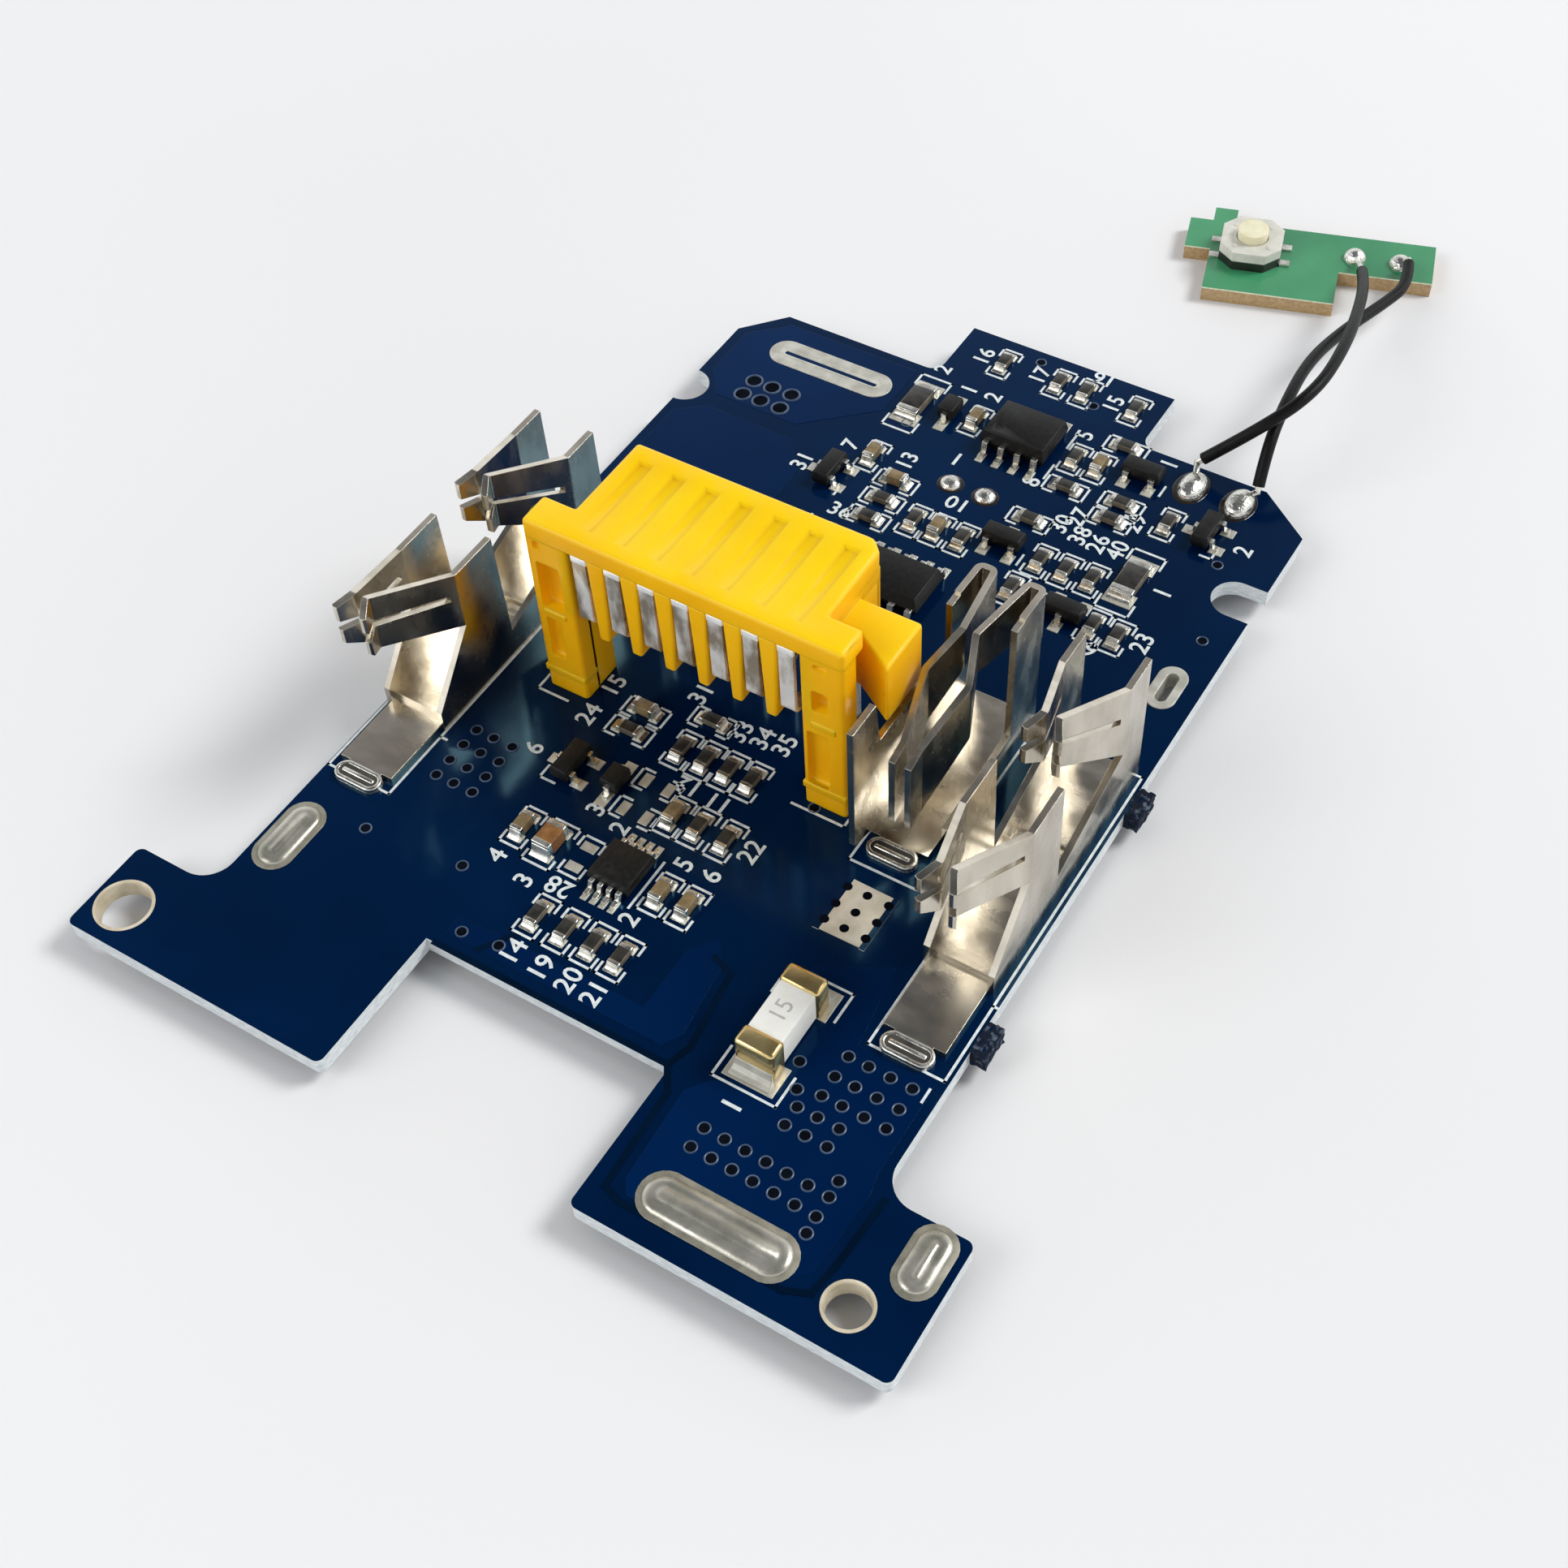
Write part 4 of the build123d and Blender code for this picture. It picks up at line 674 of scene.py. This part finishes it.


# The bare pad by the fuse: tinned copper free of mask, with nine plated holes, the outer ones
# on its edges, each hole a dark disc of painted shade. The mask laps in over the land at both sides.
pad_tin, tree, principled = shader("pad_tin", 0.4, 0.3)
colour(tree, principled, 700, (0.66, 0.62, 0.50), (0.86, 0.82, 0.72))
relief(tree, principled, 700, 0.05 * mm, 0.4)
pad_left = 36.86
pad_right = 39.58
pad_outline = ((pad_left, 19.47), (pad_right, 19.49), (pad_right, 23.51), (pad_left, 23.56))
pad = paint(plate("tinned_pad", pad_outline, lift, 0.07), pad_tin)
pad_hole_r = 0.29
pad_holes = []
# Each hole is a dark disc of painted shade.
for y in (22.9, 21.5, 20.2):
    for x in (36.8, 38.15, 39.6):
        pad_holes.append(paint(rod("pad_hole", (x, y, 0.045), pad_hole_r, 0.08, 20), hole_shade))
for left, right in ((36.45, pad_left), (pad_right, 39.95)):
    lap = plate("mask_lap", ((left, 19.4), (right, 19.4), (right, 23.6), (left, 23.6)), lift, 0.062)
    pad_holes.append(paint(lap, board_mask))
fit(merge("tinned_pad", [pad, *pad_holes]))


# Joints soldered by hand: smooth bright beads over the leads' bare ends and the thermistor's
# legs, each in a thin dark skin of flux.


def dome(name, place, radii, sides=20):
    """A ball squashed to its three radii."""
    bpy.ops.object.select_all(action="DESELECT")
    bpy.ops.mesh.primitive_uv_sphere_add(segments=sides, ring_count=sides // 2, radius=1,
                                         location=Vector(place) * mm, scale=Vector(radii) * mm)
    return settle(name)


bead_shine, tree, principled = shader("bead_shine", 0.26, 1.0)
colour(tree, principled, 700, (0.62, 0.61, 0.56), (0.86, 0.85, 0.79))
relief(tree, principled, 900, 0.30 * mm, 0.8)
flux, tree, principled = shader("flux_skin", 0.15)
colour(tree, principled, 900, (0.006, 0.005, 0.006), (0.030, 0.020, 0.012))
relief(tree, principled, 900, 0.05 * mm, 0.5)
lead_beads = []
for x in (40.0, 43.5):
    lead_beads.append(paint(dome("bead", (x, 63.85, 0.02), (0.98, 1.45, 0.8), 28), bead_shine))
    lead_beads.append(paint(dome("skin", (x - 0.05, 63.8, 0), (1.22, 1.72, 0.07), 28), flux))
fit(merge("lead_beads", lead_beads), "wire_blobs")
leg_beads = []
for x in (25.4, 28.1):
    leg_beads.append(paint(dome("bead", (x, 56.1, 0), (0.76, 0.76, 0.48), 24), bead_shine))
    leg_beads.append(paint(dome("skin", (x, 56.1, 0), (0.98, 0.92, 0.05), 24), flux))
fit(merge("thermistor_beads", leg_beads), "thermistor_joints")
far_beads = [paint(dome("bead", (x, y, -1.0), (0.86, 0.86, 0.72), 24), bead_shine)
             for x, y in ((39.69, 93.82), (42.97, 94.72))]
fit(merge("switch_board_beads", far_beads), "key_joints")


# Chip resistors: a ceramic slab with a black glazed face and tinned ends that wrap round it.
# Each end stands on its land in a concave fillet of solder.
land_t = 0.05


def scale_picked(factors, middle):
    """Scales what is selected about the given point."""
    bpy.ops.transform.resize(value=factors, center_override=Vector(middle) * mm)


glaze, tree, principled = shader("resistor_glaze", 0.35)
colour(tree, principled, 1500, (0.012, 0.012, 0.011), (0.034, 0.032, 0.026))
relief(tree, principled, 4000, 0.02 * mm, 0.6)
slab_white, tree, principled = shader("chip_ceramic", 0.6)
colour(tree, principled, 1500, (0.10, 0.085, 0.06), (0.20, 0.17, 0.12))


def chip(name, length, width, height, end, body_material, face_material=None):
    """A chip part along Y on its two lands, with solder fillets at both ends."""
    body = soften(box(name + "_slab", (0, 0, land_t + height / 2), (width, length - end, height)), 0.04)
    paint(body, body_material)
    pieces = [body]
    if face_material:
        face = box(name + "_face", (0, 0, land_t + height), (width * 0.92, length - 2 * end, 0.05))
        pieces.append(paint(soften(face, 0.02), face_material))
    fillet_h = height * 0.76
    for way in (-1, 1):
        middle = way * (length - end) / 2
        cap = box(name + "_cap", (0, middle, land_t + height / 2), (width + 0.04, end, height + 0.04))
        pieces.append(paint(soften(cap, 0.06, 3), tin))
        outer = way * length / 2
        fillet = box(name + "_fillet", (0, outer, land_t + fillet_h / 2), (width * 0.96, 0.06, fillet_h))
        pick(fillet, lambda centre, normal, way=way: normal.y * way > 0.9)
        for reach, narrow, low in ((0.09, 1.03, 0.50), (0.12, 1.04, 0.45), (0.16, 1.04, 0.5)):
            draw_out((0, way * reach, 0))
            scale_picked((narrow, 1, low), (0, 0, land_t))
        close(fillet)
        only(fillet)
        bpy.ops.object.shade_smooth_by_angle(angle=math.radians(50))
        pieces.append(paint(fillet, tin))
    return merge(name, pieces)


resistor = chip("resistor", 1.6, 0.8, 0.45, 0.3, slab_white, glaze)
resistors = copies(resistor, "resistors",
                   [(x, y, 0) for x, y in resistors_along] + [(x, y, 90) for x, y in resistors_across])
fit(resistors, "resistor_bodies", "resistor_ends")


# The two current shunts: the same ceramic build as the small resistors, twice as long and
# soldered to lands of their own at the rear.
shunt = chip("shunt", 3.2, 1.6, 0.6, 0.55, slab_white, glaze)
fit(copies(shunt, "shunt_resistors", [(x, y, 0) for x, y in shunts]), "shunt_bodies", "shunt_ends")


# Chip capacitors: a solid block of fired tan clay between two tinned ends, soldered to its
# lands. The large one in front is made of a browner clay.
tan_clay, tree, principled = shader("tan_clay", 0.4)
colour(tree, principled, 1400, (0.17, 0.12, 0.055), (0.27, 0.20, 0.10))
relief(tree, principled, 5000, 0.02 * mm, 0.6)
brown_clay, tree, principled = shader("brown_clay", 0.4)
colour(tree, principled, 1400, (0.20, 0.085, 0.022), (0.34, 0.16, 0.05))
relief(tree, principled, 5000, 0.02 * mm, 0.6)
small_capacitor = chip("capacitor", 1.6, 0.8, 0.75, 0.32, tan_clay)
fit(copies(small_capacitor, "capacitors",
           [(x, y, 0) for x, y in capacitors_along] + [(x, y, 90) for x, y in capacitors_across]),
    "capacitor_bodies", "capacitor_ends")
large_capacitor = chip("large_capacitor", 2.0, 1.25, 1.1, 0.42, brown_clay)
fit(copies(large_capacitor, "large_capacitor", [(*big_capacitor_place, 0)]),
    "big_capacitor_body", "big_capacitor_ends")


# Moulded circuits: black filled resin, drafted above and below the parting line, with a
# round dimple at pin 1 on the larger ones.
stand_off = 0.17
pin_mark_inset = 0.95
mould, tree, principled = shader("package_mould", 0.45, Specular_IOR_Level=0.3)
colour(tree, principled, 3000, (0.0045, 0.0045, 0.0045), (0.010, 0.010, 0.0095))
relief(tree, principled, 9000, 0.02 * mm, 0.6, 0.03 * mm)


def package(name, x, y, width, length, height, dimple=0.0, turned=0):
    """A moulded body with drafted sides above and below a band; its pin 1 at the front left."""
    band = height * 0.08
    middle = stand_off + height / 2
    top = stand_off + height
    draft = (0.93, 1 - 0.07 * width / length, 1)
    body = box(name, (0, 0, middle - band / 2), (width, length, band))
    pick(body, lambda centre, normal: normal.z > 0.9)
    draw_out((0, 0, height / 2))
    scale_picked(draft, (0, 0, top))
    close(body)
    pick(body, lambda centre, normal: normal.z < -0.9)
    draw_out((0, 0, band - height / 2))
    scale_picked(draft, (0, 0, stand_off))
    close(body)
    if dimple:
        corner = (pin_mark_inset - width / 2, pin_mark_inset - length / 2, top)
        cut(body, rod("pin_mark", corner, dimple, 0.12))
    soften(body, 0.05, 2, 25)
    set_down(body, x, y, turned)
    return paint(body, mould)


fit(package("soic16", 24.8, 45.5, 9.9, 3.9, 1.45, 0.4), "soic16_body")
fit(package("soic8", 27.85, 62.25, 4.9, 3.9, 1.45, 0.4), "soic8_body")
fit(package("msop8", 24.6, 17.0, 3.0, 3.0, 0.9, 0.25), "msop8_body")
transistor_places = (
    (36.6, 63.15, 0), (42.8, 60.05, 90), (17.6, 52.85, 90),
    (31.3, 52.75, 0), (37.8, 48.85, 180), (17.2, 22.25, 90),
)
transistors = [package("sot", x, y, 2.9, 1.3, 1.0, turned=turned) for x, y, turned in transistor_places]
fit(merge("sot23_packages", transistors), "sot23_bodies")
diodes = [package("diode", x, y, 1.25, 1.7, 0.95) for x, y in ((21.9, 62.35), (20.4, 22.45))]
fit(merge("diode_packages", diodes), "diode_bodies")


# The thermistor: a small bead dipped in black resin under the board, on two straight legs that
# come up through it to their joints.
dress("thermistor_bead", mould)


# The connector: one glossy yellow nylon moulding on two legs, pressed into the board with a peg
# under each. Its top is ribbed over the contacts, a comb of fins parts them in front, and a
# wing on the right closes the gap to the inner terminal.
middle_x = 23.0
front_y = 27.3
top_z = 14.64
slab_z = 13.29
leg_reach = 9.615
leg_depth = 1.4
leg_y = 28.0
slab_half_w = 8.765
top_half_w = 11.115
shoulder_y = 29.7
back_y = 36.3
chamfer = 0.8
contact_pitch = 2.405
contact_xs = [middle_x + contact_pitch * (i - 3) for i in range(7)]
contact_tail_y = 34.7
nylon, tree, principled = shader("yellow_nylon", 0.33, Specular_IOR_Level=0.3, Subsurface_Weight=0.2,
                                 Subsurface_Scale=0.0012, Subsurface_Radius=(1.0, 0.4, 0.02))
# Upright sides are painted a deeper orange and level faces a paler yellow over the nylon's own yellow:
# painted shade on the sides, painted light on the tops.
shaded_side_yellow = ramp(tree, noise(tree, 160, 3), (0.88, 0.42, 0.001), (0.94, 0.49, 0.002))
lit_top_yellow = ramp(tree, noise(tree, 160, 3), (0.95, 0.58, 0.002), (0.98, 0.65, 0.004))
by_facing(tree, principled, shaded_side_yellow, lit_top_yellow)
gloss(tree, principled, 700, 0.26, 0.40)
relief(tree, principled, 700, 0.03 * mm, 0.3, 0.12 * mm)


def round_edges(piece, width, segments, test):
    """Rounds only the edges whose middle and direction pass the test."""
    only(piece)
    bpy.ops.object.mode_set(mode="EDIT")
    bpy.ops.mesh.select_mode(type="EDGE")
    bpy.ops.mesh.select_all(action="DESELECT")
    bpy.ops.object.mode_set(mode="OBJECT")
    corners = piece.data.vertices
    for edge in piece.data.edges:
        a, b = (corners[i].co for i in edge.vertices)
        edge.select = test((a + b) / 2 / mm, (b - a).normalized())
    bpy.ops.object.mode_set(mode="EDIT")
    bpy.ops.mesh.bevel(offset=width * mm, segments=segments, affect="EDGES")
    bpy.ops.object.mode_set(mode="OBJECT")
    bpy.ops.object.shade_smooth_by_angle(angle=math.radians(50))


slab_left = middle_x - slab_half_w
slab_right = middle_x + slab_half_w
slab_outline = (
    (slab_right, shoulder_y), (slab_right, back_y - chamfer), (slab_right - chamfer, back_y),
    (slab_left, back_y), (slab_left, shoulder_y),
)
top_outline = (
    (middle_x + top_half_w, front_y), (middle_x + top_half_w, shoulder_y), *slab_outline,
    (middle_x - top_half_w, shoulder_y), (middle_x - top_half_w, front_y),
)
top = plate("yellow_top", top_outline, slab_z, top_z)
round_edges(top, 0.3, 4, lambda middle, way: middle.z > slab_z + 0.1)
under = plate("yellow_under", slab_outline, slab_z - 0.89, slab_z + 0.01)
groove_half_w = 0.55
groove_front = 28.4
groove_rear = 35.0
groove_depth = 0.3
for x in contact_xs:
    only(top)
    bpy.ops.object.mode_set(mode="EDIT")
    for side in (-groove_half_w, groove_half_w):
        bpy.ops.mesh.select_all(action="SELECT")
        bpy.ops.mesh.bisect(plane_co=Vector((x + side, 0, 0)) * mm, plane_no=(1, 0, 0))
    bpy.ops.object.mode_set(mode="OBJECT")
bpy.ops.object.mode_set(mode="EDIT")
for y in (groove_front, groove_rear):
    bpy.ops.mesh.select_all(action="SELECT")
    bpy.ops.mesh.bisect(plane_co=Vector((0, y, 0)) * mm, plane_no=(0, 1, 0))
bpy.ops.object.mode_set(mode="OBJECT")
pick(top, lambda centre, normal: normal.z > 0.99 and groove_front < centre.y < groove_rear
     and centre.z > top_z - 0.01 and min(abs(centre.x - x) for x in contact_xs) < 0.3)
bpy.ops.mesh.inset(thickness=0.14 * mm, depth=-groove_depth * mm, use_individual=False)
close(top)
for corner in top.data.vertices:
    in_groove = abs(corner.co.z / mm - top_z + groove_depth) < 0.01
    if in_groove and groove_front - 0.1 < corner.co.y / mm < groove_front + 0.4:
        corner.co.z = (top_z - 0.1) * mm

# (shift from the middle, z, width, height, depth) of the hollows in the front of each leg
recesses = {
    -1: ((-10.245, 12.8, 0.5, 0.7, 0.35), (-9.645, 9.4, 1.7, 4.0, 0.9), (-9.845, 4.8, 1.1, 3.6, 0.45)),
    1: ((9.595, 12.7, 1.0, 0.5, 0.35), (9.455, 9.7, 1.1, 1.8, 0.9), (9.255, 4.35, 1.5, 4.9, 0.45)),
}
legs = []
for side in (-1, 1):
    leg = box("leg", (middle_x + side * leg_reach, leg_y, slab_z / 2), (3.0, leg_depth, slab_z))
    round_edges(leg, 0.3, 4, lambda middle, way: abs(way.z) > 0.9 and middle.y < leg_y)
    for shift, z, width, height, depth in recesses[side]:
        recess = soften(box("recess", (middle_x + shift, front_y, z), (width, 2 * depth, height)), 0.2, 3)
        cut(leg, recess)
    only(leg)
    bpy.ops.object.shade_smooth_by_angle(angle=math.radians(50))
    legs.append(leg)
wing = plate("wing", ((31.5, 33.3), (35.9, 33.3), (35.9, 29.1), (32.97, 30.9), (31.5, 30.9)), 8.1, 12.75)
round_edges(wing, 0.25, 3, lambda middle, way: middle.x > 31.6)

fin = box("fin", (0, 1.15, 9.95), (1.25, 2.3, 6.7))
pick(fin, lambda centre, normal: normal.z < -0.9)
scale_picked((0.6, 1, 1), (0, 1.15, 6.6))
close(fin)
soften(fin, 0.2, 4)
fins = copies(fin, "fins", [(x + contact_pitch / 2, front_y + 0.02, 0) for x in contact_xs[:-1]])
moulded = [top, under, wing, fins, *legs]
cheek_w = 0.45
for side in (-1, 1):
    leg_x = middle_x + side * leg_reach
    cheek_x = middle_x + side * (slab_half_w - 0.01 - cheek_w / 2)
    moulded.append(soften(box("web", (middle_x + side * 8.565, 29.5, 6.5), (0.9, 2.2, 13.0)), 0.12))
    moulded.append(soften(box("cheek", (cheek_x, 31.4, 10.3), (cheek_w, 8.1, 5.4)), 0.1))
    moulded.append(soften(box("foot_band", (leg_x, 27.95, 1.65), (3.06, 1.44, 0.5)), 0.06))
    moulded.append(soften(rod("peg", (leg_x, 28.02, -1.1), 0.64, 2.2, 32), 0.12))
corner_x = slab_right - 0.01
corner_y = back_y - 0.01
right_corner = (
    (corner_x, 35.2), (corner_x, back_y - chamfer), (slab_right - chamfer, corner_y),
    (30.7, corner_y), (30.7, 35.8), (31.3, 35.2),
)
moulded.append(plate("right_corner", right_corner, 7.6, 13.0))
moulded.append(box("left_corner", (14.45, 35.8, 10.3), (0.4, 0.9, 5.4)))
moulded.append(soften(box("rear_wall", (22.6, 36.04, 9.6), (16.6, 0.5, 6.0)), 0.1))
moulded.append(soften(box("ledge", (32.65, front_y + 0.02, 7.6), (1.7, 0.2, 0.5)), 0.09, 3))
moulded.append(soften(box("lip", (13.36, front_y + 0.02, 7.15), (1.7, 0.24, 0.4)), 0.1, 3))
fit(paint(merge("yellow_housing", moulded), nylon), "connector_housing")


# The three terminals and the connector's seven contacts: bronze sheet, cut, bent and plated with
# nickel or tin. The contacts' tails end under the board in cones of solder, and the top of each
# contact folds over at the front of the moulding.
nickel, tree, principled = shader("nickel_sheet", 0.2, 1.0)
colour(tree, principled, 220, (0.50, 0.455, 0.375), (0.71, 0.66, 0.565), 4, (1, 2, 1))
gloss(tree, principled, 320, 0.15, 0.32, (1, 2, 1))
relief(tree, principled, 240, 0.03 * mm, 0.2, 0.05 * mm)
for node in ("left_terminal", "right_terminal", "inner_terminal"):
    dress(node, nickel)
strip_tin, tree, principled = shader("contact_plating_painted_reflections", 0.25, 0.45)
# The contacts' colour is streaked between dark brown and near white: painted reflections of what stands round
# them.
painted_reflection_streaks = ramp(tree, noise(tree, 420, 4, (1.6, 1, 0.7)), (0.36, 0.30, 0.23), (0.96, 0.94, 0.90), (0.40, 0.56))
tree.links.new(painted_reflection_streaks, principled.inputs["Base Color"])
gloss(tree, principled, 500, 0.14, 0.36, (1, 1, 0.5))
relief(tree, principled, 300, 0.08 * mm, 0.4, 0.05 * mm)
dress("connector_contacts", strip_tin)
cones = [dome("cone", (x, contact_tail_y, -board_t), (0.7, 0.7, 0.6), 16) for x in contact_xs]
fit(paint(merge("contact_joints", cones), bead_shine))
# Each contact's fold is a near-white strip: a painted highlight where the bend catches the light.
fold_highlight, tree, principled = shader("fold_highlight", 0.3, 0.25)
colour(tree, principled, 900, (0.94, 0.93, 0.90), (0.98, 0.98, 0.96))
gloss(tree, principled, 900, 0.2, 0.36)
fold = soften(box("fold", (0, 27.47, 12.93), (1.16, 0.24, 0.55)), 0.1, 3)
fit(paint(copies(fold, "contact_folds", [(x, 0, 0) for x in contact_xs]), fold_highlight))


# Fuse: a square tube of white ceramic between two pressed caps of plated brass, which stand in
# solder on two large lands. A plain number is printed on top.
fuse_z = 1.35
tube_w = 2.28
cap_w = 2.6
fuse_digit_h = 1.5
ceramic, tree, principled = shader("fuse_ceramic", 0.5)
colour(tree, principled, 1500, (0.92, 0.92, 0.84), (0.97, 0.97, 0.92))
relief(tree, principled, 6000, 0.02 * mm, 0.5)
brass, tree, principled = shader("fuse_cap_plate", 0.22, 0.9)
colour(tree, principled, 500, (0.60, 0.43, 0.17), (0.82, 0.64, 0.30))
relief(tree, principled, 900, 0.06 * mm, 0.5)
grey_ink, tree, principled = shader("grey_ink", 0.5)
colour(tree, principled, 2000, (0.46, 0.46, 0.43), (0.60, 0.60, 0.56))
tube = box("fuse_tube", (fuse_x, fuse_y, fuse_z), (tube_w, 5.8, tube_w))
fit(paint(soften(tube, 0.1, 3), ceramic), "fuse_body")
fuse_caps = []
for way in (-1, 1):
    cap = box("fuse_cap", (fuse_x, fuse_y + way * 2.375, fuse_z), (cap_w, 1.35, cap_w))
    fuse_caps.append(paint(soften(cap, 0.28, 4), brass))
    skirt = box("fuse_solder", (fuse_x, fuse_y + way * 3.05, 0.5), (2.4, 0.1, 0.9))
    pick(skirt, lambda centre, normal, way=way: normal.y * way > 0.9)
    for reach, low in ((0.12, 0.5), (0.2, 0.45), (0.3, 0.4)):
        draw_out((0, way * reach, 0))
        scale_picked((1.04, 1, low), (fuse_x, fuse_y, 0.05))
    fuse_caps.append(paint(close(skirt), dull_tin))
fit(merge("fuse_caps_plated", fuse_caps), "fuse_caps")
tube_top = fuse_z + tube_w / 2
bpy.ops.object.select_all(action="DESELECT")
bpy.ops.object.text_add(location=Vector((fuse_x, fuse_y, tube_top - 0.005)) * mm,
                        rotation=(0, 0, math.radians(90)))
label = bpy.context.object
label.data.body = "15"
label.data.size = fuse_digit_h * mm
label.data.align_x = "CENTER"
label.data.align_y = "CENTER"
label.data.extrude = 0.01 * mm
bpy.ops.object.convert(target="MESH")
fit(paint(settle("fuse_number"), grey_ink))


# Two black leads: stranded copper in soft insulation, soldered to the board's rear corner
# and to the switch board. One passes over the other twice on the way.
lead_d = 0.85 * mm
lead_routes = {
    "lead_a": (
        (39.91, 65.51, 1.3), (42.77, 66.82, 4.0), (45.29, 70.32, 5.8), (45.09, 76.23, 5.4),
        (43.53, 83.72, 3.2), (42.11, 88.75, 1.2), (41.13, 91.24, 0.1),
    ),
    "lead_b": (
        (44.15, 65.28, 0.9), (43.84, 66.75, 3.1), (43.4, 70.24, 4.0), (42.68, 76.39, 3.0),
        (42.98, 82.56, 1.4), (44.1, 88.3, 0.35), (44.7, 91.4, 0.1), (43.75, 94.0, -0.1),
    ),
}
insulation, tree, principled = shader("lead_insulation", 0.45, Specular_IOR_Level=0.16)
colour(tree, principled, 900, (0.0015, 0.0015, 0.0017), (0.0045, 0.0045, 0.005))
relief(tree, principled, 3500, 0.02 * mm)
for name, route in lead_routes.items():
    line = bpy.data.curves.new(name + "_insulation", "CURVE")
    line.dimensions = "3D"
    line.bevel_depth = lead_d / 2
    line.bevel_resolution = 5
    line.resolution_u = 16
    line.use_fill_caps = True
    spline = line.splines.new("NURBS")
    spline.points.add(len(route) - 1)
    for point, place in zip(spline.points, route):
        point.co = (*(Vector(place) * mm), 1)
    spline.order_u = 3
    spline.use_endpoint_u = True
    lead = bpy.data.objects.new(name + "_insulation", line)
    scene.collection.objects.link(lead)
    lead.data.materials.append(insulation)
    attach(lead, "board")
    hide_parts(name)


# The switch board: green mask on tan laminate, on the ends of the two leads. Its push switch has
# a white cover riveted to its base at four corners, the moulding dark below the cover's height and
# pale above, and a cream plunger stands in the ring.


def by_height(tree, low, high, start, end):
    """One tone below the start height and another above the end, in object space."""
    place = tree.nodes.new("ShaderNodeTexCoord")
    part = tree.nodes.new("ShaderNodeSeparateXYZ")
    tree.links.new(place.outputs["Object"], part.inputs["Vector"])
    level = tree.nodes.new("ShaderNodeMapRange")
    level.inputs["From Min"].default_value = start * mm
    level.inputs["From Max"].default_value = end * mm
    tree.links.new(part.outputs["Z"], level.inputs["Value"])
    mix = tree.nodes.new("ShaderNodeMix")
    mix.data_type = "RGBA"
    tree.links.new(level.outputs["Result"], mix.inputs["Factor"])
    tree.links.new(low, mix.inputs[6])
    tree.links.new(high, mix.inputs[7])
    return mix.outputs[2]


key_mask, tree, principled = shader("switch_board_mask", 0.2, Coat_Weight=0.3, Coat_Roughness=0.1)
face_green = ramp(tree, noise(tree, 120, 3), (0.030, 0.24, 0.10), (0.060, 0.34, 0.15))
tan_edge = ramp(tree, noise(tree, 4000, 6), (0.36, 0.23, 0.10), (0.48, 0.33, 0.16))
pale_line = ramp(tree, noise(tree, 4000, 6), (0.62, 0.68, 0.46), (0.76, 0.80, 0.60))
pale_line_z = -1.12
edge_tone = by_height(tree, tan_edge, pale_line, pale_line_z - 0.01, pale_line_z + 0.01)
by_facing(tree, principled, edge_tone, face_green)
relief(tree, principled, 420, 0.03 * mm, 0.5)
dress("switch_board", key_mask)
white_plastic, tree, principled = shader("switch_moulding", 0.34)
pale = ramp(tree, noise(tree, 900), (0.60, 0.59, 0.52), (0.72, 0.71, 0.64))
dark = ramp(tree, noise(tree, 900), (0.008, 0.010, 0.008), (0.02, 0.022, 0.018))
# The moulding's colour is dark below the cover's height and pale above it.
cover_z = -0.25
cover_tone = by_height(tree, dark, pale, cover_z - 0.05, cover_z + 0.05)
tree.links.new(cover_tone, principled.inputs["Base Color"])
relief(tree, principled, 5000, 0.02 * mm, 0.5, 0.1 * mm)
dress("tact_base", white_plastic)
switch_x = 32.5
switch_y = 90.67
rivets = [paint(dome("rivet", (switch_x + x, switch_y + y, 0.5), (0.24, 0.24, 0.07), 16), white_plastic)
          for x, y in ((-1.63, 0.73), (0.73, 1.63), (-0.73, -1.63), (1.63, -0.73))]
fit(merge("switch_rivets", rivets))
cream, tree, principled = shader("plunger_cream", 0.35, Subsurface_Weight=0.2, Subsurface_Scale=0.0008)
colour(tree, principled, 900, (0.74, 0.70, 0.46), (0.84, 0.82, 0.60))
relief(tree, principled, 5000, 0.02 * mm, 0.5, 0.1 * mm)
dress("switch_plunger", cream)
